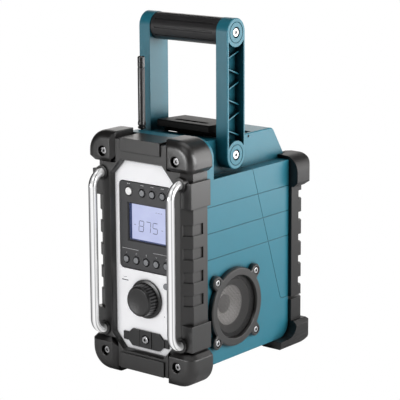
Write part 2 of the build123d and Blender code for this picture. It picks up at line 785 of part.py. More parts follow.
def side_lines(first_d, last_d):
    """Cut the three level parting lines into both sides of the open part."""
    for z in LINE_Z:
        block(
            BODY_HALF + 1,
            BODY_HALF - LINE_DEEP,
            (first_d, last_d),
            (z - LINE_H / 2, z + LINE_H / 2),
            Mode.SUBTRACT,
        )


def knuckles(x_ranges, d_range, z_range):
    """Add hinge barrels with their webs to the open part, on both sides."""
    for x_low, x_high in x_ranges:
        for side in (-1, 1):
            start = min(side * x_low, side * x_high)
            with BuildSketch(side_plane(start)) as barrel:
                with Locations((HINGE_D, HINGE_Z)):
                    Circle(KNUCKLE_R)
                with Locations(((d_range[0] + d_range[1]) / 2, (z_range[0] + z_range[1]) / 2)):
                    Rectangle(d_range[1] - d_range[0], z_range[1] - z_range[0])
            extrude(barrel.sketch, amount=x_high - x_low)


with BuildPart() as main_housing:
    # neck inside the front guard, and the rim that shows behind the guard
    with BuildSketch(front_plane(PANEL_D)):
        gap = SEAT_GAP
        add(upright(NECK_HALF - gap, NECK_BOTTOM + gap, NECK_TOP - gap, NECK_R - gap))
    extrude(amount=PANEL_D - RIM_BACK)
    with BuildSketch(front_plane(RIM_FRONT)):
        add(upright(BODY_HALF, RIM_BOTTOM, RIM_TOP, RIM_R))
    extrude(amount=RIM_FRONT - RIM_BACK)
    # wide body below the shoulders, with the battery door's seam as its rear edge
    with BuildSketch(side_plane(-BODY_HALF)):
        with BuildLine():
            Polyline(
                (RIM_FRONT, BODY_BOTTOM),
                (BODY_REAR, BODY_BOTTOM),
                (BODY_REAR, SEAM_FOOT_Z),
                (SEAM_FOOT_D, SEAM_FOOT_Z),
                (SEAM_TOP_D, SHOULDER_Z),
                (RIM_FRONT, SHOULDER_Z),
                close=True,
            )
        make_face()
        fillet(vertices().sort_by_distance((SEAM_FOOT_D, SEAM_FOOT_Z))[0], SEAM_R)
        fillet(vertices().sort_by_distance((BODY_REAR, BODY_BOTTOM))[0], REAR_FOOT_R)
    extrude(amount=2 * BODY_HALF)
    # narrow core that the lower rear guard wraps
    block(CORE_HALF, 0, (BODY_REAR - REAR_FOOT_R, CORE_REAR), (CORE_BOTTOM, CORE_TOP), Mode.ADD)
    # tower between the handle's arms, with round bosses at the handle's pivots
    with BuildSketch(side_plane(-TOWER_HALF)):
        with BuildLine():
            Polyline(
                (RIM_FRONT, SHOULDER_Z - 1),
                (SEAM_TOP_D, SHOULDER_Z - 1),
                (SEAM_TOP_D, TOWER_TOP),
                (RIM_FRONT, TOWER_TOP),
                close=True,
            )
        make_face()
    extrude(amount=2 * TOWER_HALF)
    for side in (-1, 1):
        with BuildSketch(side_plane(side * TOWER_HALF)):
            with Locations((PIVOT_D, PIVOT_Z)):
                Circle(PIVOT_BOSS_R)
        extrude(amount=-side * BOSS_DEEP)
    # post for the antenna
    with BuildSketch(plan_plane(SHOULDER_Z - WALL)):
        with Locations((ANTENNA_X, ANTENNA_D)):
            Circle(ANTENNA_POST_R)
    extrude(amount=TOWER_TOP - SHOULDER_Z + WALL)
    # hollow chamber for the electronics, the cellar under the bay, neck and tower
    with BuildSketch(side_plane(-(BODY_HALF - WALL))):
        with BuildLine():
            Polyline(
                (RIM_BACK, BODY_BOTTOM + WALL),
                (BODY_REAR - REAR_FOOT_R, BODY_BOTTOM + WALL),
                (BODY_REAR - WALL, BODY_BOTTOM + REAR_FOOT_R),
                (BODY_REAR - WALL, CORE_TOP - WALL),
                (CAVITY_REAR, CORE_TOP - WALL),
                (CAVITY_REAR, CELLAR_TOP),
                (RIM_BACK, CELLAR_TOP),
                close=True,
            )
        make_face()
    extrude(amount=2 * (BODY_HALF - WALL), mode=Mode.SUBTRACT)
    neck_hollow = NECK_HALF - SEAT_GAP - WALL
    block(neck_hollow, 0, (CAVITY_FRONT, RIM_BACK + 1), (BODY_BOTTOM + WALL, TOWER_TOP - WALL),
          Mode.SUBTRACT)
    block(TOWER_HALF - WALL, 0, (RIM_BACK, KEEPER[0] - WALL), (CELLAR_TOP - 1, TOWER_TOP - WALL),
          Mode.SUBTRACT)
    for side in (-1, 1):
        with BuildSketch(side_plane(side * (TOWER_HALF - 1))):
            with Locations((PIVOT_D, PIVOT_Z)):
                Circle(PIVOT_R + WALL)
        extrude(amount=-side * (TOWER_HALF - 1 - PIVOT_ROOT + WALL))
    # recess for the control panel, wells for the board and the sockets
    with BuildSketch(front_plane(PANEL_D)):
        add(octagon(PANEL_HIDDEN))
    extrude(amount=-PANEL_T, mode=Mode.SUBTRACT)
    block(BOARD_WELL, 0, (PANEL_D, BOARD_D + BOARD_T), (BOARD[0] - 0.5, BOARD[1] + 0.5),
          Mode.SUBTRACT)
    block(BOARD_LEDGE, 0, (PANEL_D, CAVITY_FRONT + 1), (BOARD[0] + 3, BOARD[1] - 3),
          Mode.SUBTRACT)
    block(SOCKET_X + SOCKET_R + 2, SOCKET_X - SOCKET_R - 2, (PANEL_D, CAVITY_FRONT + 1),
          (AUX_Z - SOCKET_R - 2, AUX_Z + SOCKET_R + 2), Mode.SUBTRACT)
    # channels in the shoulders beside the handle's arms
    for side in (-1, 1):
        start = min(side * POCKET_X[0], side * POCKET_X[1])
        with BuildSketch(side_plane(start)):
            with BuildLine():
                Polyline(
                    (POCKET[0], SHOULDER_Z + 1),
                    (POCKET[0], SHOULDER_Z - POCKET_DEEP),
                    (POCKET[1], SHOULDER_Z),
                    (POCKET[1], SHOULDER_Z + 1),
                    close=True,
                )
            make_face()
        extrude(amount=POCKET_X[1] - POCKET_X[0], mode=Mode.SUBTRACT)
    # loudspeaker seats, bores and screw holes
    seat_x = BODY_HALF - BASKET_T - 4
    for side in (-1, 1):
        with BuildSketch(side_plane(side * (BODY_HALF - 1))):
            with Locations((SPEAKER_D, SPEAKER_Z)):
                Circle(SPEAKER_SEAT_R)
            with Locations(*speaker_ears):
                Circle(SPEAKER_EAR_R - 3)
        extrude(amount=-side * (BODY_HALF - 1 - seat_x))
        with BuildSketch(side_plane(side * BODY_HALF)):
            with Locations((SPEAKER_D, SPEAKER_Z)):
                Circle(BASKET_R + SEAT_GAP)
        extrude(amount=-side * BASKET_T, mode=Mode.SUBTRACT)
        with BuildSketch(side_plane(side * BODY_HALF)):
            with Locations((SPEAKER_D, SPEAKER_Z)):
                Circle(SPEAKER_OPEN_R + SEAT_GAP)
        extrude(amount=-side * BASKET_DEEP, mode=Mode.SUBTRACT)
        with BuildSketch(side_plane(side * BODY_HALF)):
            with Locations(*speaker_ears):
                Circle(SPEAKER_SCREW_R + RUN_GAP)
        extrude(amount=-side * (BODY_HALF - seat_x), mode=Mode.SUBTRACT)
        with BuildSketch(side_plane(side * TOWER_HALF)):
            with Locations((PIVOT_D, PIVOT_Z)):
                Circle(PIVOT_R + RUN_GAP)
        extrude(amount=-side * (TOWER_HALF - PIVOT_ROOT + 0.5), mode=Mode.SUBTRACT)
    # battery bay, open through the door's seam
    block(BAY_HALF, 0, (BAY_FRONT, BODY_REAR), BAY, Mode.SUBTRACT)
    side_lines(RIM_FRONT, BODY_REAR)
    # keeper for the door latch: a notch whose rear ramp lets the nose pass
    block(KEEPER_HALF + WALL, 0, (KEEPER[0] - WALL, SEAM_TOP_D), (KEEPER_Z - WALL, TOWER_TOP),
          Mode.ADD)
    ramp_top = KEEPER_Z + KEEPER_RISE * (SEAM_TOP_D + 1 - KEEPER[1])
    with BuildSketch(side_plane(-KEEPER_HALF)):
        with BuildLine():
            Polyline(
                (KEEPER[0], TOWER_TOP + 1),
                (KEEPER[0], KEEPER_Z),
                (KEEPER[1], KEEPER_Z),
                (SEAM_TOP_D + 1, ramp_top),
                (SEAM_TOP_D + 1, TOWER_TOP + 1),
                close=True,
            )
        make_face()
    extrude(amount=2 * KEEPER_HALF, mode=Mode.SUBTRACT)
    # hinge barrels with their bore
    knuckles((ROOT_KNUCKLE,), (CORE_REAR - WALL, HINGE_D), (CORE_TOP - WALL, HINGE_Z))
    with BuildSketch(side_plane(-TOWER_HALF)):
        with Locations((HINGE_D, HINGE_Z)):
            Circle(PIN_R + RUN_GAP)
    extrude(amount=2 * TOWER_HALF, mode=Mode.SUBTRACT)
    # screw holes at the front and the rear, and the antenna's hole
    with BuildSketch(front_plane(PANEL_D)):
        for z in (TOP_SCREW_Z, BOTTOM_SCREW_Z):
            with Locations((-SCREW_X, z), (SCREW_X, z)):
                Circle(SCREW_R + RUN_GAP)
        with Locations((0, AUX_Z)):
            Circle(SCREW_R + RUN_GAP)
    extrude(amount=PANEL_D - SCREW_END, mode=Mode.SUBTRACT)
    with BuildSketch(front_plane(CORE_REAR)):
        with Locations((-REAR_SCREW[0], REAR_SCREW[1]), REAR_SCREW):
            Circle(SCREW_R + RUN_GAP)
    extrude(amount=REAR_SCREW_END + CORE_REAR - REAR_REACH, mode=Mode.SUBTRACT)
    with BuildSketch(plan_plane(TOWER_TOP)):
        with Locations((ANTENNA_X, ANTENNA_D)):
            Circle(ANTENNA_STUD_R + SEAT_GAP)
    extrude(amount=-ANTENNA_STUD_DEEP - 0.3, mode=Mode.SUBTRACT)
    # openings for the battery terminal
    block(TERMINAL_HALF + SEAT_GAP, 0, (CAVITY_REAR, BAY_FRONT), TERMINAL_Z, Mode.SUBTRACT)
keep(main_housing, "main_housing")

# ---------------------------------------------------------------- battery door
DOOR_BACK = CORE_REAR
HUMP_TOP = 285.2
HUMP_END_D = 197.0
HUMP_FOOT = (219.0, 250.7)
HUMP_R = 10.0
LATCH_FLOOR = 276.5
LATCH_WELL_HALF = 46.8
LATCH_WELL_END = SEAM_TOP_D + 25.5
LATCH_PIN = (SEAM_TOP_D + 14.5, 281.5)
LATCH_PIN_R = 1.6
RIB = 2.0
RIB_X = 48.0
DOOR_RIBS = (76.0, 240.0)
DOOR_SCREW_Z = 234.0
seam_run = (SEAM_FOOT_D - SEAM_TOP_D) / (SHOULDER_Z - SEAM_FOOT_Z)
seam_shift = SEAM_GAP * sqrt(1 + seam_run ** 2)


def seam_depth(z, inset):
    """Depth of the slanted seam at this height, moved rearward by an inset."""
    return SEAM_TOP_D + (SHOULDER_Z - z) * seam_run + inset


def door_profile(low, high, back, inset):
    """Side outline of the door behind the slanted seam, between two heights."""
    with BuildSketch() as outline:
        with BuildLine():
            Polyline(
                (seam_depth(low, inset), low),
                (back, low),
                (back, high),
                (seam_depth(high, inset), high),
                close=True,
            )
        make_face()
    return outline.sketch_local


def hump_profile(front, margin):
    """Side outline of the door's raised hump, shrunk by a margin at the top and the rear."""
    with BuildSketch() as outline:
        with BuildLine():
            Polyline(
                (front, SHOULDER_Z - 6 * WALL),
                (front, HUMP_TOP - margin),
                (HUMP_END_D - margin * 0.7, HUMP_TOP - margin),
                (HUMP_FOOT[0] - margin, HUMP_FOOT[1] - margin * 0.4),
                (HUMP_FOOT[0] - margin, SHOULDER_Z - 6 * WALL),
                close=True,
            )
        make_face()
        corner = vertices().sort_by_distance((HUMP_END_D, HUMP_TOP))[0]
        fillet(corner, HUMP_R)
    return outline.sketch_local


door_low = SEAM_FOOT_Z + SEAM_GAP
with BuildPart() as battery_door:
    # wide part with flush sides, narrow core behind it, and the hump on top
    with BuildSketch(side_plane(-BODY_HALF)):
        add(door_profile(door_low, SHOULDER_Z, BODY_REAR, seam_shift))
        foot = vertices().sort_by_distance((SEAM_FOOT_D, door_low))[0]
        fillet(foot, SEAM_R)
    extrude(amount=2 * BODY_HALF)
    block(CORE_HALF, 0, (BODY_REAR - WALL, DOOR_BACK), (door_low, SHOULDER_Z), Mode.ADD)
    with BuildSketch(side_plane(-TOWER_HALF)):
        add(hump_profile(SEAM_TOP_D + SEAM_GAP, 0))
    extrude(amount=2 * TOWER_HALF)
    with BuildSketch(side_plane(-TOWER_HALF)):
        with BuildLine():
            Polyline(
                (RIM_BACK, door_low),
                (seam_depth(door_low, seam_shift), door_low),
                (seam_depth(SHOULDER_Z, seam_shift), SHOULDER_Z),
                (SEAM_TOP_D + SEAM_GAP, SHOULDER_Z),
                (RIM_BACK, SHOULDER_Z),
                close=True,
            )
        make_face()
    extrude(amount=2 * TOWER_HALF, mode=Mode.SUBTRACT)
    side_edges = battery_door.edges().filter_by(Axis.Y).group_by(Axis.Z)[-1]
    chamfer(side_edges, 1.0)
    # hollow behind the seam, in the core and in the hump
    with BuildSketch(side_plane(-(BODY_HALF - WALL))):
        add(door_profile(door_low + WALL, SHOULDER_Z - WALL, BODY_REAR - WALL, seam_shift - 5))
    extrude(amount=2 * (BODY_HALF - WALL), mode=Mode.SUBTRACT)
    block(CORE_HALF - WALL, 0, (BODY_REAR - 2 * WALL, DOOR_BACK - WALL),
          (door_low + WALL, SHOULDER_Z - WALL), Mode.SUBTRACT)
    with BuildSketch(side_plane(-(TOWER_HALF - WALL))):
        add(hump_profile(SEAM_TOP_D + SEAM_GAP + WALL, WALL))
        with Locations((SEAM_TOP_D, HUMP_TOP)):
            Rectangle(
                2 * (LATCH_WELL_END + WALL - SEAM_TOP_D),
                2 * (HUMP_TOP - LATCH_FLOOR + WALL),
                mode=Mode.SUBTRACT,
            )
    extrude(amount=2 * (TOWER_HALF - WALL), mode=Mode.SUBTRACT)
    # ribs that box in the battery, held just clear of the housing
    rib_inset = seam_shift + 0.6
    for side in (-1, 1):
        with BuildSketch(side_plane(side * RIB_X - RIB / 2)):
            add(door_profile(DOOR_RIBS[0], DOOR_RIBS[1], DOOR_BACK - 1, rib_inset))
        extrude(amount=RIB)
    for z in DOOR_RIBS:
        with BuildSketch(side_plane(-RIB_X)):
            add(door_profile(z - RIB / 2, z + RIB / 2, DOOR_BACK - 1, rib_inset))
        extrude(amount=2 * RIB_X)
    # well for the latch with its pin's bore
    block(LATCH_WELL_HALF, 0, (SEAM_TOP_D, LATCH_WELL_END), (LATCH_FLOOR, HUMP_TOP + 1),
          Mode.SUBTRACT)
    with BuildSketch(side_plane(-TOWER_HALF)):
        with Locations(LATCH_PIN):
            Circle(LATCH_PIN_R + RUN_GAP)
    extrude(amount=2 * TOWER_HALF, mode=Mode.SUBTRACT)
    # parting lines on both sides, in step with the housing's
    side_lines(SEAM_TOP_D, BODY_REAR)
    # hinge barrels on webs below the rear wall
    knuckles((DOOR_KNUCKLE,), (DOOR_BACK - WALL, HINGE_D), (HINGE_Z, door_low + 6))
    with BuildSketch(side_plane(-TOWER_HALF)):
        with Locations((HINGE_D, HINGE_Z)):
            Circle(PIN_R + RUN_GAP)
    extrude(amount=2 * TOWER_HALF, mode=Mode.SUBTRACT)
    # bosses and holes of the two rear screws
    with BuildSketch(front_plane(DOOR_BACK - 1)):
        with Locations((-REAR_SCREW[0], DOOR_SCREW_Z), (REAR_SCREW[0], DOOR_SCREW_Z)):
            Circle(SCREW_R + WALL)
    extrude(amount=REAR_SCREW_END + DOOR_BACK - REAR_REACH)
    with BuildSketch(front_plane(DOOR_BACK)):
        with Locations((-REAR_SCREW[0], DOOR_SCREW_Z), (REAR_SCREW[0], DOOR_SCREW_Z)):
            Circle(SCREW_R + RUN_GAP)
    extrude(amount=REAR_SCREW_END + DOOR_BACK - REAR_REACH, mode=Mode.SUBTRACT)
keep(battery_door, "battery_door")

# ---------------------------------------------------------------- rear guards
REAR_STRIP_END = 229.0
REAR_FLANGE_X = 46.0
REAR_BEVEL = 5.0
UPPER_STRIP = (69.0, 212.0)
LOWER_STRIP = (36.0, 65.6)
REAR_TOP_BUMPER = (211.0, 256.0)
REAR_BUMPER_R = 20.0
REAR_BUMPER_INNER = 44.0
FOOT_TOP = 38.0
FOOT_FRONT = 178.0
FOOT_INNER = 42.0
FOOT_NOSE_R = 17.0
FOOT_HEEL_R = 8.0
REAR_WINDOW_H = 11.0
rear_windows = (170.6, 142.0, 114.2, 86.5)


def rear_strip_plan():
    """Plan outline of both rear strips, which wrap the corners of the core."""
    with BuildSketch() as outline:
        for side in (-1, 1):
            with BuildLine():
                Polyline(
                    (side * (CORE_HALF + SEAT_GAP), BODY_REAR + SEAT_GAP),
                    (side * STRIP_HALF, BODY_REAR + SEAT_GAP),
                    (side * STRIP_HALF, REAR_STRIP_END - REAR_BEVEL),
                    (side * (STRIP_HALF - REAR_BEVEL), REAR_STRIP_END),
                    (side * REAR_FLANGE_X, REAR_STRIP_END),
                    (side * REAR_FLANGE_X, CORE_REAR + SEAT_GAP),
                    (side * (CORE_HALF + SEAT_GAP), CORE_REAR + SEAT_GAP),
                    close=True,
                )
            make_face()
    return outline.sketch_local


def rear_bumper_plan():
    """Plan outline of both rear bumpers."""
    crown = REAR_REACH - BUMPER_CROWN_D
    with BuildSketch() as outline:
        for side in (-1, 1):
            with BuildLine():
                Polyline(
                    (side * REAR_BUMPER_INNER, FOOT_FRONT),
                    (side * BUMPER_HALF, FOOT_FRONT),
                    (side * BUMPER_HALF, crown),
                    (side * BUMPER_FACE_HALF, REAR_REACH - BUMPER_EDGE_R),
                    (side * (BUMPER_FACE_HALF - BUMPER_EDGE_R), REAR_REACH),
                    (side * (REAR_BUMPER_INNER + BUMPER_BEVEL), REAR_REACH),
                    (side * REAR_BUMPER_INNER, REAR_REACH - BUMPER_BEVEL),
                    close=True,
                )
            make_face()
            corner = (side * BUMPER_FACE_HALF, REAR_REACH - BUMPER_EDGE_R)
            fillet(vertices().sort_by_distance(corner)[0], BUMPER_EDGE_R)
    return outline.sketch_local


def rear_recesses(z):
    """Cut the screws' recesses and holes into both rear bumpers at this height."""
    for radius, depth in (
        (RECESS_R, SCREW_SINK + SCREW_HEAD_T),
        (SCREW_R + RUN_GAP, REAR_REACH - CORE_REAR),
    ):
        with BuildSketch(front_plane(REAR_REACH)) as hole:
            with Locations((-REAR_SCREW[0], z), (REAR_SCREW[0], z)):
                Circle(radius)
        extrude(hole.sketch, amount=depth, mode=Mode.SUBTRACT)


def core_seat(z_range):
    """Cut the space of the housing's core and its wide body out of a rear guard."""
    block(CORE_HALF + SEAT_GAP, 0, (FOOT_FRONT - 1, CORE_REAR + SEAT_GAP), z_range,
          Mode.SUBTRACT)
    block(BUMPER_HALF + 1, 0, (FOOT_FRONT - 1, BODY_REAR + SEAT_GAP), z_range, Mode.SUBTRACT)


with BuildPart() as rear_guard_upper:
    low, high = REAR_TOP_BUMPER
    with BuildSketch(front_plane(BODY_REAR)):
        for side in (-1, 1):
            with BuildLine():
                Polyline(
                    (side * REAR_BUMPER_INNER, high),
                    (side * REAR_BUMPER_INNER, low + 6),
                    (side * (REAR_BUMPER_INNER + 6), low),
                    (side * (BUMPER_HALF - 5.5), low),
                    (side * BUMPER_HALF, low + 5.5),
                    (side * BUMPER_HALF, high),
                    close=True,
                )
            make_face()
            corner = vertices().sort_by_distance((side * BUMPER_HALF, high))[0]
            fillet(corner, REAR_BUMPER_R)
    extrude(amount=BODY_REAR - REAR_REACH)
    with BuildSketch(plan_plane(low)):
        add(rear_bumper_plan())
    extrude(amount=high - low, mode=Mode.INTERSECT)
    # side strips and the band across the back
    with BuildSketch(plan_plane(UPPER_STRIP[0])):
        add(rear_strip_plan())
    extrude(amount=UPPER_STRIP[1] - UPPER_STRIP[0])
    block(REAR_BUMPER_INNER + 3, 0, (CORE_REAR + SEAT_GAP, REAR_STRIP_END),
          (low + 9, SHOULDER_Z - 3), Mode.ADD)
    core_seat((UPPER_STRIP[0] - 1, high + 1))
    block(TOWER_HALF + SEAT_GAP, 0, (BODY_REAR, CORE_REAR + SEAT_GAP), (low, high + 1),
          Mode.SUBTRACT)
    for z in rear_windows:
        with BuildSketch(plan_plane(z - REAR_WINDOW_H / 2)):
            add(rear_strip_plan())
            offset(amount=-WINDOW_DEEP, kind=Kind.INTERSECTION, mode=Mode.SUBTRACT)
            with Locations((-STRIP_HALF, REAR_STRIP_END), (STRIP_HALF, REAR_STRIP_END)):
                Rectangle(24, 24, mode=Mode.INTERSECT)
        extrude(amount=REAR_WINDOW_H, mode=Mode.SUBTRACT)
    rear_recesses(DOOR_SCREW_Z)
keep(rear_guard_upper, "rear_guard_upper")

with BuildPart() as rear_guard_lower:
    # bumpers and feet as one side outline that follows the housing's lower rear corner
    with BuildSketch(side_plane(-BUMPER_HALF)):
        with BuildLine():
            Polyline(
                (FOOT_FRONT, 0),
                (REAR_REACH, 0),
                (REAR_REACH, FOOT_TOP),
                (BODY_REAR + SEAT_GAP, FOOT_TOP),
                (BODY_REAR + SEAT_GAP, BODY_BOTTOM - SEAT_GAP),
                (FOOT_FRONT, BODY_BOTTOM - SEAT_GAP),
                close=True,
            )
        make_face()
        inside = (BODY_REAR + SEAT_GAP, BODY_BOTTOM - SEAT_GAP)
        fillet(vertices().sort_by_distance(inside)[0], REAR_FOOT_R)
        fillet(vertices().sort_by_distance((FOOT_FRONT, 0))[0], FOOT_NOSE_R)
        fillet(vertices().sort_by_distance((REAR_REACH, 0))[0], FOOT_HEEL_R)
    extrude(amount=2 * BUMPER_HALF)
    with BuildSketch(plan_plane(0)):
        add(rear_bumper_plan())
    extrude(amount=FOOT_TOP, mode=Mode.INTERSECT)
    with BuildSketch(front_plane(FOOT_FRONT)):
        for side in (-1, 1):
            with BuildLine():
                Polyline(
                    (side * FOOT_INNER, 0),
                    (side * BUMPER_HALF, 0),
                    (side * BUMPER_HALF, FOOT_TOP - 5),
                    (side * (BUMPER_HALF - 5), FOOT_TOP),
                    (side * FOOT_INNER, FOOT_TOP),
                    close=True,
                )
            make_face()
            corner = vertices().sort_by_distance((side * BUMPER_HALF, 0))[0]
            fillet(corner, REAR_BUMPER_R)
    extrude(amount=FOOT_FRONT - REAR_REACH, mode=Mode.INTERSECT)
    for side in (-1, 1):
        with BuildSketch(plan_plane(0)):
            middle = side * (BODY_HALF + BUMPER_HALF) / 2
            with Locations((middle, (FOOT_FRONT + BODY_REAR + SEAT_GAP) / 2)):
                Rectangle(BUMPER_HALF - BODY_HALF, BODY_REAR + SEAT_GAP - FOOT_FRONT)
        extrude(amount=FOOT_TOP, mode=Mode.SUBTRACT)
    # side strips and the band across the back
    with BuildSketch(plan_plane(LOWER_STRIP[0])):
        add(rear_strip_plan())
    extrude(amount=LOWER_STRIP[1] - LOWER_STRIP[0])
    block(REAR_BUMPER_INNER + 3, 0, (CORE_REAR + SEAT_GAP, REAR_STRIP_END),
          (CORE_BOTTOM, FOOT_TOP), Mode.ADD)
    block(CORE_HALF + SEAT_GAP, 0, (BODY_REAR - REAR_FOOT_R, CORE_REAR + SEAT_GAP),
          (CORE_BOTTOM - SEAT_GAP, CORE_TOP + 1), Mode.SUBTRACT)
    rear_recesses(REAR_SCREW[1])
keep(rear_guard_lower, "rear_guard_lower")

# ---------------------------------------------------------------- door latch and hinge pin
LATCH_HALF = 49.5
LATCH_BOTTOM = 285.6
LATCH_TOP = 296.0
LATCH_FRONT = KEEPER[0] + 2.5
LATCH_REAR = LATCH_PIN[0] + 4.0
CHEEK_X = 43.5
CHEEK_FRONT = LATCH_FRONT - 13.0
TAB_HALF = 19.5
TAB_FRONT = LATCH_FRONT - 14.0
TAB = (283.0, 288.5)
EAR_X = (36.0, 46.4)
EAR_R = 4.5
LATCH_SLOT = (LATCH_FRONT + 8.0, LATCH_FRONT + 13.0)
LATCH_SLOT_X = (-44.0, 12.0)
NOSE_HALF = 12.0
NOSE = (LATCH_FRONT, KEEPER[1] - 1.5)
NOSE_TIP_Z = KEEPER_Z + 0.8

with BuildPart() as door_latch:
    # slab with its rear underside cut back so that it can tip
    with BuildSketch(side_plane(-LATCH_HALF)):
        with BuildLine():
            Polyline(
                (LATCH_FRONT, LATCH_BOTTOM),
                (LATCH_PIN[0] - 1.5, LATCH_BOTTOM),
                (LATCH_REAR, LATCH_BOTTOM + 3.6),
                (LATCH_REAR, LATCH_TOP - 3.0),
                (LATCH_REAR - 3.0, LATCH_TOP),
                (LATCH_FRONT + 2.0, LATCH_TOP),
                (LATCH_FRONT, LATCH_TOP - 2.0),
                close=True,
            )
        make_face()
    extrude(amount=2 * LATCH_HALF)
    ends = door_latch.edges().filter_by(Axis.Y).group_by(Axis.Z)[-1]
    chamfer(ends, 1.5)
    for side in (-1, 1):
        middle = side * (CHEEK_X + LATCH_HALF) / 2
        with BuildSketch(plan_plane(LATCH_BOTTOM - 2.0)):
            with Locations((middle, (CHEEK_FRONT + LATCH_FRONT) / 2 + 1)):
                Rectangle(LATCH_HALF - CHEEK_X, LATCH_FRONT - CHEEK_FRONT + 2)
        extrude(amount=LATCH_TOP - 1.5 - LATCH_BOTTOM + 2.0)
        with BuildSketch(side_plane(side * EAR_X[1])):
            with Locations(LATCH_PIN):
                Circle(EAR_R)
            with Locations((LATCH_PIN[0], (LATCH_PIN[1] + LATCH_BOTTOM + 1) / 2)):
                Rectangle(2 * EAR_R - 2, LATCH_BOTTOM + 1 - LATCH_PIN[1])
        extrude(amount=-side * (EAR_X[1] - EAR_X[0]))
    with BuildSketch(plan_plane(TAB[0])):
        with Locations((0, (TAB_FRONT + LATCH_FRONT) / 2 + 1)):
            RectangleRounded(2 * TAB_HALF, LATCH_FRONT - TAB_FRONT + 2, 1.5)
    extrude(amount=TAB[1] - TAB[0])
    # nose that drops into the keeper
    with BuildSketch(side_plane(-NOSE_HALF)):
        with BuildLine():
            Polyline(
                (NOSE[0], LATCH_BOTTOM + 1),
                (NOSE[0], NOSE_TIP_Z + 2),
                (NOSE[0] + 2, NOSE_TIP_Z),
                (NOSE[1], NOSE_TIP_Z),
                (NOSE[1] + 4, LATCH_BOTTOM - 8),
                (NOSE[1] + 6, LATCH_BOTTOM + 1),
                close=True,
            )
        make_face()
    extrude(amount=2 * NOSE_HALF)
    with BuildSketch(plan_plane(LATCH_TOP)):
        with Locations((sum(LATCH_SLOT_X) / 2, sum(LATCH_SLOT) / 2)):
            RectangleRounded(LATCH_SLOT_X[1] - LATCH_SLOT_X[0], LATCH_SLOT[1] - LATCH_SLOT[0], 1.5)
    extrude(amount=-3.0, mode=Mode.SUBTRACT)
    with BuildSketch(side_plane(-LATCH_HALF)):
        with Locations(LATCH_PIN):
            Circle(LATCH_PIN_R + RUN_GAP)
    extrude(amount=2 * LATCH_HALF, mode=Mode.SUBTRACT)
keep(door_latch, "door_latch")


def cross_pin(centre, radius, half):
    """A straight round pin across the radio."""
    with BuildPart() as pin:
        with BuildSketch(side_plane(-half)) as section:
            with Locations(centre):
                Circle(radius)
        extrude(section.sketch, amount=2 * half)
        chamfer(pin.edges().filter_by(GeomType.CIRCLE), radius * 0.25)
    return pin


keep(cross_pin(LATCH_PIN, LATCH_PIN_R, TOWER_HALF - 0.5), "latch_pin")
keep(cross_pin((HINGE_D, HINGE_Z), PIN_R, ROOT_KNUCKLE[1] + 1.0), "door_hinge_pin")

# ---------------------------------------------------------------- carrying handle
ARM_INNER = 51.1
ARM_OUTER = 68.1
ARM_HALF = 17.0
GRIP_Z = 414.0
GRIP_R = 16.5
GRIP_GROOVES = 10
GROOVE_END = 6.0
ARM_POCKET = 13.0
ARM_RAIL = 2.75
ARM_POCKET_END_R = 17.2
RIB_SINK = 7.0
ARM_RIB = 1.6
RING_R = 12.3
RING_W = 0.9
HEAD_R = 5.4
HEAD_T = 2.3
HEAD_WELL_R = 6.6
HEAD_WELL = 3.0
HEAD_LIFT = 0.3
CORE_R = 8.0
CORE_SINK = 4.0
ARM_RIB_Z = (380.6, 373.8, 343.2, 337.3, 306.0, 299.7)
ARM_RIB_RISE = (9.7, -11.5, 10.3, -11.8, 10.7, -11.0)

rib_front = PIVOT_D - ARM_HALF + ARM_RAIL
rib_back = PIVOT_D + ARM_HALF - ARM_RAIL
arm_middle = (PIVOT_D, (PIVOT_Z + GRIP_Z) / 2)

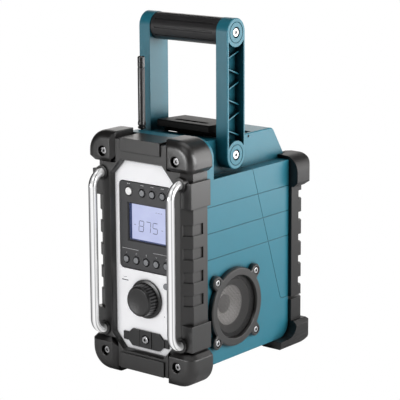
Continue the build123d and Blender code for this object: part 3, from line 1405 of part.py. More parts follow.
with BuildPart() as handle_arm_right:
    with BuildSketch(side_plane(ARM_INNER)):
        with Locations(arm_middle):
            SlotCenterToCenter(GRIP_Z - PIVOT_Z, 2 * ARM_HALF, rotation=90)
    extrude(amount=ARM_OUTER - ARM_INNER)
    rims = handle_arm_right.faces().sort_by(Axis.X)[-1].edges()
    chamfer(rims, 0.8)
    # pocket in the outer face, ending round the two bosses, and its zigzag of ribs
    with BuildSketch(side_plane(ARM_OUTER)) as hollow:
        with Locations(arm_middle):
            Rectangle(2 * (ARM_HALF - ARM_RAIL), GRIP_Z - PIVOT_Z)
        with Locations((PIVOT_D, PIVOT_Z), (PIVOT_D, GRIP_Z)):
            Circle(ARM_POCKET_END_R, mode=Mode.SUBTRACT)
    extrude(amount=-ARM_POCKET, mode=Mode.SUBTRACT)
    for z, rise in zip(ARM_RIB_Z, ARM_RIB_RISE):
        with BuildSketch(side_plane(ARM_OUTER - RIB_SINK)):
            half = ARM_RIB / 2
            with BuildLine():
                Polyline(
                    (rib_front - 0.5, z - half),
                    (rib_back + 0.5, z + rise - half),
                    (rib_back + 0.5, z + rise + half),
                    (rib_front - 0.5, z + half),
                    close=True,
                )
            make_face()
        extrude(amount=RIB_SINK - ARM_POCKET)
    # ring grooves, wells of the bolts' heads, and the bores
    with BuildSketch(side_plane(ARM_OUTER)):
        with Locations((PIVOT_D, PIVOT_Z), (PIVOT_D, GRIP_Z)):
            Circle(RING_R + RING_W / 2)
            Circle(RING_R - RING_W / 2, mode=Mode.SUBTRACT)
    extrude(amount=-0.6, mode=Mode.SUBTRACT)
    with BuildSketch(side_plane(ARM_OUTER)):
        with Locations((PIVOT_D, PIVOT_Z), (PIVOT_D, GRIP_Z)):
            Circle(HEAD_WELL_R)
    extrude(amount=-HEAD_WELL, mode=Mode.SUBTRACT)
    with BuildSketch(side_plane(ARM_INNER)):
        with Locations((PIVOT_D, PIVOT_Z)):
            Circle(PIVOT_R + RUN_GAP)
        with Locations((PIVOT_D, GRIP_Z)):
            Circle(SCREW_R + RUN_GAP)
    extrude(amount=ARM_OUTER - ARM_INNER, mode=Mode.SUBTRACT)
    with BuildSketch(side_plane(ARM_INNER)):
        with Locations((PIVOT_D, GRIP_Z)):
            Circle(CORE_R + SEAT_GAP)
    extrude(amount=CORE_SINK, mode=Mode.SUBTRACT)
keep(handle_arm_right, "handle_arm_right")
keep(mirrored(handle_arm_right), "handle_arm_left")

grip_half = ARM_INNER - SEAT_GAP
with BuildPart() as handle_grip:
    with BuildSketch(side_plane(-grip_half)):
        with Locations((PIVOT_D, GRIP_Z)):
            Circle(GRIP_R)
    extrude(amount=2 * grip_half)
    chamfer(handle_grip.edges().filter_by(GeomType.CIRCLE), 0.8)
    with BuildSketch(side_plane(GROOVE_END - grip_half)):
        with Locations((PIVOT_D, GRIP_Z)):
            with PolarLocations(GRIP_R, GRIP_GROOVES):
                Rectangle(1.6, 2.2)
    extrude(amount=2 * (grip_half - GROOVE_END), mode=Mode.SUBTRACT)
    with BuildSketch(side_plane(-grip_half)):
        with Locations((PIVOT_D, GRIP_Z)):
            Circle(CORE_R + RUN_GAP)
    extrude(amount=2 * grip_half, mode=Mode.SUBTRACT)
keep(handle_grip, "handle_grip")

core_half = ARM_INNER + CORE_SINK - SEAT_GAP
with BuildPart() as grip_core:
    with BuildSketch(side_plane(-core_half)):
        with Locations((PIVOT_D, GRIP_Z)):
            Circle(CORE_R)
            Circle(SCREW_R + RUN_GAP, mode=Mode.SUBTRACT)
    extrude(amount=2 * core_half)
keep(grip_core, "grip_core")


def side_bolt(side, z, shank_r, inner_x):
    """A cap-head bolt across an arm: round head with a hexagonal socket, and its shank."""
    head_back = ARM_OUTER - HEAD_WELL + HEAD_LIFT
    with BuildPart() as bolt:
        with BuildSketch(side_plane(side * head_back)) as head:
            with Locations((PIVOT_D, z)):
                Circle(HEAD_R)
        extrude(head.sketch, amount=side * HEAD_T)
        outer = bolt.faces().sort_by(Axis.X)[-1 if side > 0 else 0]
        fillet(outer.edges(), 0.9)
        with BuildSketch(side_plane(side * (head_back + HEAD_T))) as key:
            with Locations((PIVOT_D, z)):
                RegularPolygon(2.4, 6)
        extrude(key.sketch, amount=-side * 1.5, mode=Mode.SUBTRACT)
        with BuildSketch(side_plane(side * head_back)) as shank:
            with Locations((PIVOT_D, z)):
                Circle(shank_r)
        extrude(shank.sketch, amount=-side * (head_back - inner_x))
    return bolt


with BuildPart() as pivot_bolts:
    for side in (-1, 1):
        add(side_bolt(side, PIVOT_Z, PIVOT_R, PIVOT_ROOT).part)
keep(pivot_bolts, "pivot_bolts")

with BuildPart() as handle_screws:
    for side in (-1, 1):
        add(side_bolt(side, GRIP_Z, SCREW_R, ARM_INNER - 6.0).part)
keep(handle_screws, "handle_screws")

# ---------------------------------------------------------------- antenna
BARREL_R = 3.0           # round foot of the whip, lying from front to rear in the boot
BARREL_HALF = 3.8
BARREL_Z = TOWER_TOP + 6.5
BOOT_MOUTH_R = 3.3
BOOT_R = 5.6
BOOT_TOP = TOWER_TOP + 10.2
WHIP_START = TOWER_TOP + 15.5
WHIP_TOP = WHIP_START + 89.0
WHIP_R = 4.4
WHIP_FOOT_R = 4.9
WHIP_FOOT_TOP = WHIP_START + 8.5
NECK_WIRE_R = 1.8
TIP_R = 1.6
antenna_plane = Plane(
    origin=(ANTENNA_X, FRONT_Y + ANTENNA_D, 0), x_dir=(1, 0, 0), z_dir=(0, -1, 0)
)
antenna_axis = Axis((ANTENNA_X, FRONT_Y + ANTENNA_D, 0), (0, 0, 1))

with BuildPart() as antenna_base:
    with BuildSketch(antenna_plane):
        with BuildLine():
            Polyline(
                (0, TOWER_TOP - ANTENNA_STUD_DEEP),
                (ANTENNA_STUD_R, TOWER_TOP - ANTENNA_STUD_DEEP),
                (ANTENNA_STUD_R, TOWER_TOP + SEAT_GAP),
                (BOOT_R, TOWER_TOP + SEAT_GAP),
                (BOOT_R, BOOT_TOP - 1.5),
                (BOOT_R - 1.0, BOOT_TOP),
                (0, BOOT_TOP),
                close=True,
            )
        make_face()
        with Locations((0, BOOT_TOP)):
            Rectangle(2 * BOOT_MOUTH_R, 2 * (BOOT_TOP - BARREL_Z), mode=Mode.SUBTRACT)
    revolve(axis=antenna_axis)
    barrel_reach = BARREL_HALF + SEAT_GAP
    with BuildSketch(front_plane(ANTENNA_D - barrel_reach)):
        with Locations((ANTENNA_X, BARREL_Z)):
            Circle(BARREL_R + RUN_GAP)
    extrude(amount=-2 * barrel_reach, mode=Mode.SUBTRACT)
keep(antenna_base, "antenna_base")

with BuildPart() as antenna_whip:
    with BuildSketch(antenna_plane):
        with BuildLine():
            Polyline(
                (0, BARREL_Z),
                (NECK_WIRE_R, BARREL_Z),
                (NECK_WIRE_R, WHIP_START),
                (WHIP_FOOT_R - 0.8, WHIP_START),
                (WHIP_FOOT_R, WHIP_START + 0.8),
                (WHIP_FOOT_R, WHIP_START + 2.6),
                (WHIP_R - 0.4, WHIP_START + 3.2),
                (WHIP_R - 0.4, WHIP_START + 4.2),
                (WHIP_FOOT_R, WHIP_START + 4.8),
                (WHIP_FOOT_R, WHIP_FOOT_TOP),
                (WHIP_R, WHIP_FOOT_TOP + 1.0),
                (WHIP_R, WHIP_TOP - 14.4),
                (WHIP_R - 0.5, WHIP_TOP - 14.2),
                (WHIP_R - 0.5, WHIP_TOP - 13.4),
                (WHIP_R, WHIP_TOP - 13.2),
                (WHIP_R, WHIP_TOP - TIP_R),
                (WHIP_R - TIP_R, WHIP_TOP),
                (0, WHIP_TOP),
                close=True,
            )
        make_face()
    revolve(axis=antenna_axis)
    with BuildSketch(front_plane(ANTENNA_D - BARREL_HALF)):
        with Locations((ANTENNA_X, BARREL_Z)):
            Circle(BARREL_R)
    extrude(amount=-2 * BARREL_HALF)
keep(antenna_whip, "antenna_whip")

# ---------------------------------------------------------------- loudspeakers
GUARD_BORE_R = 40.3
GRILLE_R = 40.0
GRILLE_T = 1.0
GRILLE_FRONT = 71.5
GRILLE_PITCH = 7.0
GRILLE_HOLE = 5.6
GRILLE_FIELD_R = 34.0
GUARD_SHELF = GRILLE_FRONT + 0.1
guard_face = BODY_HALF + SPEAKER_OUT
guard_seat = BODY_HALF + SEAT_GAP


def on_side(source, side):
    """A right-hand piece as it is, or its mirror image for the left."""
    return source if side > 0 else mirrored(source)


def speaker_revolve(points):
    """Turn a closed radius-and-x outline about the right loudspeaker's axis."""
    centre = (0, FRONT_Y + SPEAKER_D, SPEAKER_Z)
    with BuildPart() as turned:
        with BuildSketch(Plane(origin=centre, x_dir=(0, 1, 0), z_dir=(0, 0, -1))) as outline:
            with BuildLine():
                Polyline(*points, close=True)
            make_face()
        revolve(outline.sketch, axis=Axis(centre, (1, 0, 0)))
    return turned


with BuildPart() as speaker_guard_right:
    with BuildSketch(side_plane(guard_seat)):
        with Locations((SPEAKER_D, SPEAKER_Z)):
            Circle(SPEAKER_RING_R)
            for angle in (45, 135):
                SlotOverall(
                    2 * (SPEAKER_EAR * sqrt(2) + SPEAKER_EAR_R),
                    2 * SPEAKER_EAR_R,
                    rotation=angle,
                )
    extrude(amount=guard_face - guard_seat)
    chamfer(speaker_guard_right.faces().sort_by(Axis.X)[-1].edges(), 1.5)
    with BuildSketch(side_plane(guard_seat)):
        with Locations((SPEAKER_D, SPEAKER_Z)):
            Circle(GUARD_BORE_R)
    extrude(amount=GUARD_SHELF - guard_seat, mode=Mode.SUBTRACT)
    with BuildSketch(side_plane(GUARD_SHELF)):
        with Locations((SPEAKER_D, SPEAKER_Z)):
            Circle(SPEAKER_OPEN_R)
    with BuildSketch(side_plane(guard_face)):
        with Locations((SPEAKER_D, SPEAKER_Z)):
            Circle(SPEAKER_OPEN_R + 1.2)
    loft(mode=Mode.SUBTRACT)
    with BuildSketch(side_plane(guard_face)):
        with Locations(*speaker_ears):
            Circle(SPEAKER_HEAD_R + 1.0)
    extrude(amount=-2.6, mode=Mode.SUBTRACT)
    with BuildSketch(side_plane(guard_face)):
        with Locations(*speaker_ears):
            Circle(SPEAKER_SCREW_R + RUN_GAP)
    extrude(amount=guard_seat - guard_face, mode=Mode.SUBTRACT)

with BuildPart() as speaker_grille_right:
    count = int(2 * GRILLE_FIELD_R / GRILLE_PITCH)
    offsets = [GRILLE_PITCH * (n - (count - 1) / 2) for n in range(count)]
    holes = [(a, b) for a in offsets for b in offsets if sqrt(a * a + b * b) < GRILLE_FIELD_R]
    with BuildSketch(side_plane(GRILLE_FRONT - GRILLE_T)):
        with Locations((SPEAKER_D, SPEAKER_Z)):
            Circle(GRILLE_R)
            with Locations(*holes):
                Rectangle(GRILLE_HOLE, GRILLE_HOLE, mode=Mode.SUBTRACT)
    extrude(amount=GRILLE_T)

CONE_R = 33.0
CONE_DEEP = 14.2         # from the basket's front to the foot of the cone
CONE_T = 1.0
CAP_R = 11.5             # dust cap
CAP_DEEP = 11.0          # from the basket's front to the cap's middle
COIL_R = 11.0
COIL_END = 27.0
SURROUND_W = 3.0
MAGNET_DEEP = 34.5       # from the basket's flange to the magnet's back
MAGNET_BORE = 12.0
PLATE_DEEP = 21.0
driver_face = BODY_HALF - SEAT_GAP
driver_seat = BODY_HALF - BASKET_T + SEAT_GAP
speaker_driver_right = speaker_revolve((
    (0, driver_seat - MAGNET_DEEP),
    (MAGNET_R, driver_seat - MAGNET_DEEP),
    (MAGNET_R, driver_seat - MAGNET_DEEP + MAGNET_T),
    (SPEAKER_OPEN_R - SLIDE_GAP, driver_seat - 2.5),
    (SPEAKER_OPEN_R - SLIDE_GAP, driver_seat),
    (BASKET_R, driver_seat),
    (BASKET_R, driver_face),
    (CONE_R + MOVE_GAP, driver_face),
    (CONE_R + MOVE_GAP, driver_face - 1.6),
    (CONE_R + SURROUND_W, driver_face - 3.8),
    (CONE_R + SURROUND_W - 0.5, driver_face - 5.8),
    (MAGNET_R - 2.0, driver_seat - PLATE_DEEP),
    (MAGNET_BORE, driver_seat - PLATE_DEEP),
    (MAGNET_BORE, driver_seat - MAGNET_DEEP + MAGNET_T / 2),
    (0, driver_seat - MAGNET_DEEP + MAGNET_T / 2),
))
speaker_cone_right = speaker_revolve((
    (0, driver_face - CAP_DEEP),
    (CAP_R / 2, driver_face - CAP_DEEP - 0.8),
    (CAP_R, driver_face - CONE_DEEP),
    (CONE_R, driver_face - 0.8),
    (CONE_R, driver_face - 0.8 - CONE_T),
    (COIL_R, driver_face - CONE_DEEP - 1.5 * CONE_T),
    (COIL_R, driver_face - COIL_END),
    (COIL_R - CONE_T, driver_face - COIL_END),
    (COIL_R - CONE_T, driver_face - CONE_DEEP - CONE_T),
    (0, driver_face - CAP_DEEP - 1.2 * CONE_T),
))
for side, name in ((1, "right"), (-1, "left")):
    keep(on_side(speaker_guard_right, side), f"speaker_guard_{name}")
    keep(on_side(speaker_grille_right, side), f"speaker_grille_{name}")
    keep(on_side(speaker_driver_right, side), f"speaker_driver_{name}")
    keep(on_side(speaker_cone_right, side), f"speaker_cone_{name}")

with BuildPart() as speaker_screws:
    for side in (-1, 1):
        with BuildSketch(side_plane(side * (guard_face - 2.5))) as heads:
            with Locations(*speaker_ears):
                Circle(SPEAKER_HEAD_R)
        extrude(heads.sketch, amount=side * 2.2)
        with BuildSketch(side_plane(side * (guard_face - 2.5))) as shanks:
            with Locations(*speaker_ears):
                Circle(SPEAKER_SCREW_R)
        extrude(shanks.sketch, amount=-side * 10.0)
    tips = [edge for edge in speaker_screws.edges().filter_by(GeomType.CIRCLE)
            if abs(abs(edge.center().X) - (guard_face - 0.3)) < 0.01]
    fillet(tips, 0.7)
    for side in (-1, 1):
        with BuildSketch(side_plane(side * (guard_face - 0.3))) as keys:
            with Locations(*speaker_ears):
                RegularPolygon(1.8, 6)
        extrude(keys.sketch, amount=-side * 1.2, mode=Mode.SUBTRACT)
keep(speaker_screws, "speaker_screws")

# ---------------------------------------------------------------- screws of the guards
screw_places = [(side * SCREW_X, z, SCREW_SINK) for side in (-1, 1)
                for z in (TOP_SCREW_Z, BOTTOM_SCREW_Z)]


def pan_screw(x, z, front, way, length):
    """A pan-head screw whose head starts at this depth and points forward or rearward."""
    with BuildPart() as screw:
        with BuildSketch(front_plane(front)) as head:
            with Locations((x, z)):
                Circle(SCREW_HEAD_R)
        extrude(head.sketch, amount=-way * SCREW_HEAD_T)
        crown = screw.faces().sort_by(Axis.Y)[0 if way > 0 else -1]
        fillet(crown.edges(), 1.0)
        with BuildSketch(front_plane(front)) as key:
            with Locations((x, z)):
                RegularPolygon(2.1, 6)
        extrude(key.sketch, amount=-way * 1.4, mode=Mode.SUBTRACT)
        with BuildSketch(front_plane(front + way * SCREW_HEAD_T)) as shank:
            with Locations((x, z)):
                Circle(SCREW_R)
        extrude(shank.sketch, amount=-way * length)
    return screw


rear_head = REAR_REACH - SCREW_SINK
rear_length = REAR_SCREW_END - SCREW_SINK - SCREW_HEAD_T - 0.5
cover_head = cover_face + 1.2 - SCREW_HEAD_T - 0.1
with BuildPart() as guard_screws:
    for x, z, front in screw_places:
        add(pan_screw(x, z, front, 1, SCREW_LENGTH - 0.5).part)
    add(pan_screw(0, AUX_Z, cover_head, 1, 9.0).part)
    for side in (-1, 1):
        add(pan_screw(side * REAR_SCREW[0], REAR_SCREW[1], rear_head, -1, rear_length).part)
keep(guard_screws, "guard_screws")

with BuildPart() as door_screws:
    for side in (-1, 1):
        add(pan_screw(side * REAR_SCREW[0], DOOR_SCREW_Z, rear_head, -1, rear_length).part)
keep(door_screws, "door_screws")

# ---------------------------------------------------------------- battery and circuit board
TERMINAL_T = 3.0
BLADE_X = (-9.0, -3.0, 3.0, 9.0)
BLADE_OUT = 8.0
PACK_HALF = 37.5
PACK = (92.0, 205.0)
PACK_REAR = 182.0
PACK_R = 6.0
MAIN_BOARD_HALF = 46.0
MAIN_BOARD = (118.0, 226.0)
MAIN_BOARD_T = 1.6
STANDOFF = 4.0
CHIP = (36.0, 28.0)
SMALL_CHIP = (20.0, 20.0)
CAN_R = 4.5
CAN_PITCH = (12.0, 16.0)
PART_T = 12.0            # height of the parts over the board

with BuildPart() as battery_terminal:
    with BuildSketch(front_plane(BAY_FRONT + TERMINAL_T)):
        with Locations((0, sum(TERMINAL_Z) / 2)):
            Rectangle(2 * TERMINAL_HALF, TERMINAL_Z[1] - TERMINAL_Z[0] - 2 * SEAT_GAP)
    extrude(amount=BAY_FRONT + TERMINAL_T - CAVITY_REAR - SEAT_GAP)
    with BuildSketch(front_plane(BAY_FRONT + TERMINAL_T)):
        for x in BLADE_X:
            with Locations((x, sum(TERMINAL_Z) / 2)):
                Rectangle(0.9, 18)
    extrude(amount=-BLADE_OUT)
keep(battery_terminal, "battery_terminal")

with BuildPart() as battery_pack:
    pack_front = BAY_FRONT + TERMINAL_T + 0.2
    with BuildSketch(side_plane(-PACK_HALF)):
        with BuildLine():
            Polyline(
                (pack_front, PACK[0]),
                (PACK_REAR - 6, PACK[0]),
                (PACK_REAR, PACK[0] + 10),
                (PACK_REAR, PACK[1] - 12),
                (PACK_REAR - 12, PACK[1]),
                (pack_front, PACK[1]),
                close=True,
            )
        make_face()
    extrude(amount=2 * PACK_HALF)
    chamfer(battery_pack.faces().sort_by(Axis.Y)[-1].edges().filter_by(Axis.Z), 3.0)
    # rails along the front, and slots for the terminal's blades
    for side in (-1, 1):
        with BuildSketch(plan_plane(PACK[0])):
            with Locations((side * PACK_HALF, pack_front + 9)):
                Rectangle(8, 4)
        extrude(amount=PACK[1] - PACK[0] - 14, mode=Mode.SUBTRACT)
    with BuildSketch(front_plane(pack_front)):
        for x in BLADE_X:
            with Locations((x, sum(TERMINAL_Z) / 2)):
                Rectangle(1.9, 22)
    extrude(amount=-BLADE_OUT - 2, mode=Mode.SUBTRACT)
    # release key on top of the pack
    with BuildSketch(front_plane(PACK_REAR - 12)):
        with Locations((0, PACK[1] - 4)):
            RectangleRounded(24, 8, 1.5)
    extrude(amount=-4.0)
    # ledge that carries the pack on the bay's floor
    with BuildSketch(plan_plane(BAY[0])):
        with Locations((0, pack_front + 20)):
            RectangleRounded(2 * PACK_HALF - 20, 30, 3)
    extrude(amount=PACK[0] - BAY[0])
keep(battery_pack, "battery_pack")

with BuildPart() as main_board:
    board_back = CAVITY_REAR - STANDOFF
    with BuildSketch(front_plane(board_back - MAIN_BOARD_T)):
        with Locations((0, sum(MAIN_BOARD) / 2)):
            Rectangle(2 * MAIN_BOARD_HALF, MAIN_BOARD[1] - MAIN_BOARD[0])
    extrude(amount=-MAIN_BOARD_T)
    with BuildSketch(front_plane(board_back)):
        for side in (-1, 1):
            for z in (MAIN_BOARD[0] + 6, MAIN_BOARD[1] - 6):
                with Locations((side * (MAIN_BOARD_HALF - 6), z)):
                    Circle(3)
    extrude(amount=-(STANDOFF - 0.1))
    with BuildSketch(front_plane(board_back - MAIN_BOARD_T)):
        with Locations((-CHIP[0] * 0.6, MAIN_BOARD[1] - 1.3 * CHIP[1])):
            Rectangle(*CHIP)
        with Locations((2 * CAN_PITCH[0], MAIN_BOARD[1] - 2.1 * CAN_PITCH[1])):
            with GridLocations(*CAN_PITCH, 2, 2):
                Circle(CAN_R)
        with Locations((SMALL_CHIP[0] / 2, MAIN_BOARD[0] + 1.6 * SMALL_CHIP[1])):
            Rectangle(*SMALL_CHIP)
    extrude(amount=PART_T)
keep(main_board, "main_board")
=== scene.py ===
"""Looks of the jobsite radio: finishes on the CAD pieces, printed marks, display, studio."""

from __future__ import annotations

import json
import logging
import math
from dataclasses import dataclass, field
from enum import Enum
from typing import Callable

import bmesh
import bpy
from mathutils import Matrix, Vector

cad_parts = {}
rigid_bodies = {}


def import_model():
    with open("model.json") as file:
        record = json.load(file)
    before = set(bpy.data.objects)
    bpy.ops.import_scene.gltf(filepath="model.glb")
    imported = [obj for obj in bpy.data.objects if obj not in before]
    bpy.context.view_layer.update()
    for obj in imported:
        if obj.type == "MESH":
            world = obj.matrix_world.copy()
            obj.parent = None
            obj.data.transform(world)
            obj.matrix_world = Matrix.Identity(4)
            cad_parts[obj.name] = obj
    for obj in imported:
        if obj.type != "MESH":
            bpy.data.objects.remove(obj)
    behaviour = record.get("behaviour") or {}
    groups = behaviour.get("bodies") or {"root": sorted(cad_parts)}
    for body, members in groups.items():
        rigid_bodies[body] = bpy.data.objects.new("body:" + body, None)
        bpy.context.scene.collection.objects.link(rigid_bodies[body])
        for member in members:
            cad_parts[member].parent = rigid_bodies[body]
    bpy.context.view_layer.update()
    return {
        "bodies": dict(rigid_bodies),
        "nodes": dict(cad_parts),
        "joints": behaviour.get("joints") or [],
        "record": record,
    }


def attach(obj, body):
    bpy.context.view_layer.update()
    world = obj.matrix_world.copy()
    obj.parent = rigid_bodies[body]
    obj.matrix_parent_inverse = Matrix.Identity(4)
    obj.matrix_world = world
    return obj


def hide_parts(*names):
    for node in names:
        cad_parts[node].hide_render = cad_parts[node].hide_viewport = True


log = logging.getLogger("radio")

Colour = tuple[float, float, float]
Point = tuple[float, float, float]
Outline = list[tuple[float, float]]

Span = tuple[float, float]

FRONT_Y = -0.109875  # row Y of the corner bumpers' front faces, in metres
TOUCH = 0.01  # millimetres within which two places count as one
OVERCUT = 1.0  # millimetres that a cutter runs past what it cuts
BLACK = (0.0, 0.0, 0.0)
WHITE = (1.0, 1.0, 1.0)
SHARP_EDGE = 32.0  # degrees from which an edge isn't shaded smooth
WELD_REACH = 0.000002  # metres within which a CAD mesh's vertices are welded
HOLLOW_SAMPLES = 8  # rays that look for a hollow


def mm(value: float) -> float:
    """Turn millimetres into metres."""
    return value / 1000.0


def at(x: float, depth: float, z: float) -> Vector:
    """Place a point given in millimetres, with its depth behind the front bumpers.

    Args:
        x: Distance to the right of the centre plane, in millimetres.
        depth: Distance behind the bumpers' front faces, in millimetres.
        z: Height above the floor, in millimetres.

    Returns:
        The point in the row frame, in metres.
    """
    return Vector((mm(x), FRONT_Y + mm(depth), mm(z)))


def rgb(code: str) -> Colour:
    """Turn an sRGB hex code into linear colour.

    Args:
        code: Six hexadecimal digits.

    Returns:
        The linear red, green and blue values.
    """
    parts = [int(code[n : n + 2], 16) / 255.0 for n in (0, 2, 4)]
    low = [p / 12.92 if p <= 0.04045 else ((p + 0.055) / 1.055) ** 2.4 for p in parts]
    return (low[0], low[1], low[2])


class Side(Enum):
    """The two sides of the radio as seen from the front."""

    LEFT = -1
    RIGHT = 1

    @property
    def label(self) -> str:
        """Name the side as the CAD nodes do."""
        return self.name.lower()


class Nodes:
    """A small wrapper round one material's node tree."""

    def __init__(self, name: str) -> None:
        """Make an empty node material.

        Args:
            name: The material's name.
        """
        self.material = bpy.data.materials.new(name)
        self.material.use_nodes = True
        self.tree = self.material.node_tree
        self.tree.nodes.clear()
        self.output = self.tree.nodes.new("ShaderNodeOutputMaterial")
        coords = self.tree.nodes.new("ShaderNodeTexCoord")
        self.place = coords.outputs["Object"]
        self.facing = coords.outputs["Normal"]

    def add(self, kind: str, **inputs: object) -> bpy.types.Node:
        """Add a node and set or link its inputs.

        Args:
            kind: The node's type name without the leading ShaderNode.
            **inputs: Values or output sockets, by input name with _ for a space.

        Returns:
            The new node.
        """
        node = self.tree.nodes.new("ShaderNode" + kind)
        for key, value in inputs.items():
            self.put(node.inputs[key.replace("_", " ")], value)
        return node

    def put(self, socket: bpy.types.NodeSocket, value: object) -> None:
        """Set a socket to a constant or link it.

        Args:
            socket: The input socket.
            value: A number, a tuple or an output socket.
        """
        if isinstance(value, bpy.types.NodeSocket):
            self.tree.links.new(value, socket)
        elif isinstance(value, tuple) and len(value) == 3 and socket.type == "RGBA":
            socket.default_value = (*value, 1.0)
        else:
            socket.default_value = value

    def noise(self, scale: float, detail: float = 3.0, stretch: Point = (1, 1, 1)) -> bpy.types.Node:
        """Add a noise texture on object coordinates.

        Args:
            scale: Features per metre.
            detail: Octaves of detail.
            stretch: Scale along each axis.

        Returns:
            The noise node.
        """
        mapping = self.add("Mapping", Vector=self.place, Scale=stretch)
        return self.add("TexNoise", Vector=mapping.outputs[0], Scale=scale, Detail=detail)

    def spread(self, fac: bpy.types.NodeSocket, low: float, high: float) -> bpy.types.NodeSocket:
        """Map a noise factor's usual range, 0.3 to 0.7, onto two values."""
        return self.ramp(fac, (0.3, 0.7), (low, high))

    def ramp(self, fac: bpy.types.NodeSocket, start: Span, end: Span) -> bpy.types.NodeSocket:
        """Map one range of a factor onto another.

        Args:
            fac: The factor's socket.
            start: The factor's range.
            end: The range to map it onto.

        Returns:
            The mapped output socket.
        """
        node = self.add("MapRange", Value=fac)
        node.inputs["From Min"].default_value, node.inputs["From Max"].default_value = start
        node.inputs["To Min"].default_value, node.inputs["To Max"].default_value = end
        return node.outputs[0]

    def math(self, operation: str, *values: object) -> bpy.types.NodeSocket:
        """Work out one sum.

        Args:
            operation: The Math node's operation.
            *values: Numbers or sockets.

        Returns:
            The result's socket.
        """
        node = self.add("Math")
        node.operation = operation
        for socket, value in zip(node.inputs, values):
            self.put(socket, value)
        return node.outputs[0]

    def vector(self, operation: str, value: bpy.types.NodeSocket, other: Point) -> bpy.types.Node:
        """Work out a vector with a fixed other one.

        Args:
            operation: The Vector Math node's operation.
            value: The first vector's socket.
            other: The second vector.

        Returns:
            The node.
        """
        node = self.add("VectorMath", Vector=value)
        node.operation = operation
        node.inputs[1].default_value = other
        return node

    def open_part(self, reach: float, start: Span, end: Span) -> bpy.types.NodeSocket:
        """Find hollows and seams by ambient occlusion, for the painted shade that darkens them.

        Args:
            reach: How far a neighbouring surface counts, in metres.
            start: The range of occlusion, from closed to open.
            end: The range to map it onto.

        Returns:
            The mapped output socket.
        """
        hollow = self.add("AmbientOcclusion", Distance=reach)
        hollow.samples = HOLLOW_SAMPLES
        return self.ramp(hollow.outputs["AO"], start, end)

    def soft_edge(self, radius: float, samples: int) -> bpy.types.NodeSocket:
        """Bend the normal round the edges.

        Args:
            radius: The edges' radius, in metres.
            samples: Rays that look for an edge.

        Returns:
            The normal's socket.
        """
        bevel = self.add("Bevel", Radius=radius)
        bevel.samples = samples
        return bevel.outputs[0]

    def mix(self, fac: object, first: object, second: object) -> bpy.types.NodeSocket:
        """Mix two colours.

        Args:
            fac: The factor, a number or a socket.
            first: The colour at 0.
            second: The colour at 1.

        Returns:
            The mixed colour's socket.
        """
        node = self.tree.nodes.new("ShaderNodeMix")
        node.data_type = "RGBA"
        fac_input, first_colour, second_colour, mixed_colour = 0, 6, 7, 2
        self.put(node.inputs[fac_input], fac)
        self.put(node.inputs[first_colour], first)
        self.put(node.inputs[second_colour], second)
        return node.outputs[mixed_colour]

    def blend(self, fac: object, first: bpy.types.Node, second: bpy.types.Node) -> bpy.types.NodeSocket:
        """Mix two shaders.

        Args:
            fac: The factor, a number or a socket.
            first: The shader node at 0.
            second: The shader node at 1.

        Returns:
            The mixed shader's socket.
        """
        mixed = self.add("MixShader", Fac=fac)
        self.put(mixed.inputs[1], first.outputs[0])
        self.put(mixed.inputs[2], second.outputs[0])
        return mixed.outputs[0]

    def done(self, shader: bpy.types.NodeSocket) -> bpy.types.Material:
        """Link the surface shader and hand the material over."""
        self.tree.links.new(shader, self.output.inputs["Surface"])
        return self.material


@dataclass(frozen=True)
class Grooves:
    """Painted shade in grooves round the side of a knob that turns about a forward axis: dark lines, 30 a
    turn.
    """

    x: float = 1.0
    z: float = 98.0
    count: int = 30
    darkest: float = 0.9
    wave: Span = (-0.2, 0.4)
    side: Span = (0.3, 0.6)

    def shade(self, n: Nodes) -> bpy.types.NodeSocket:
        """Build the factor of painted shade that darkens the grooves.

        Args:
            n: The material's nodes.

        Returns:
            The factor's socket, 1 on the plain parts and near 0 in a groove.
        """
        offset = n.vector("SUBTRACT", n.place, (mm(self.x), 0.0, mm(self.z)))
        parts = n.add("SeparateXYZ", Vector=offset.outputs[0])
        turn = n.math("ARCTAN2", parts.outputs["X"], parts.outputs["Z"])
        wave = n.math("SINE", n.math("MULTIPLY", turn, float(self.count)))
        groove = n.ramp(wave, self.wave, (0.0, self.darkest))
        facing = n.add("SeparateXYZ", Vector=n.facing)
        side = n.ramp(n.math("ABSOLUTE", facing.outputs["Y"]), self.side, (1.0, 0.0))
        return n.math("SUBTRACT", 1.0, n.math("MULTIPLY", groove, side))


@dataclass(frozen=True)
class Rings:
    """Rings of light and dark round a loudspeaker's axis."""

    depth: float = 94.2
    z: float = 82.6
    cap: float = 11.6
    cone: float = 24.0
    blur: float = 1.2
    cap_shade: float = 0.45
    surround_shade: float = 0.18

    def shade(self, n: Nodes) -> bpy.types.NodeSocket:
        """Build the factor that darkens the middle out to the cap radius, and everything from the cone
        radius outward, which takes in the outer part of the solid cone.

        Args:
            n: The material's nodes.

        Returns:
            The factor's socket, 1 on the cone and low elsewhere.
        """
        flat = n.vector("MULTIPLY", n.place, (0.0, 1.0, 1.0))
        axis = tuple(at(0, self.depth, self.z))
        radius = n.vector("DISTANCE", flat.outputs[0], axis).outputs["Value"]
        half = self.blur / 2
        outside = n.ramp(radius, (mm(self.cap - half), mm(self.cap + half)), (self.cap_shade, 1.0))
        inside = n.ramp(radius, (mm(self.cone), mm(self.cone + self.blur)), (1.0, self.surround_shade))
        return n.math("MULTIPLY", outside, inside)


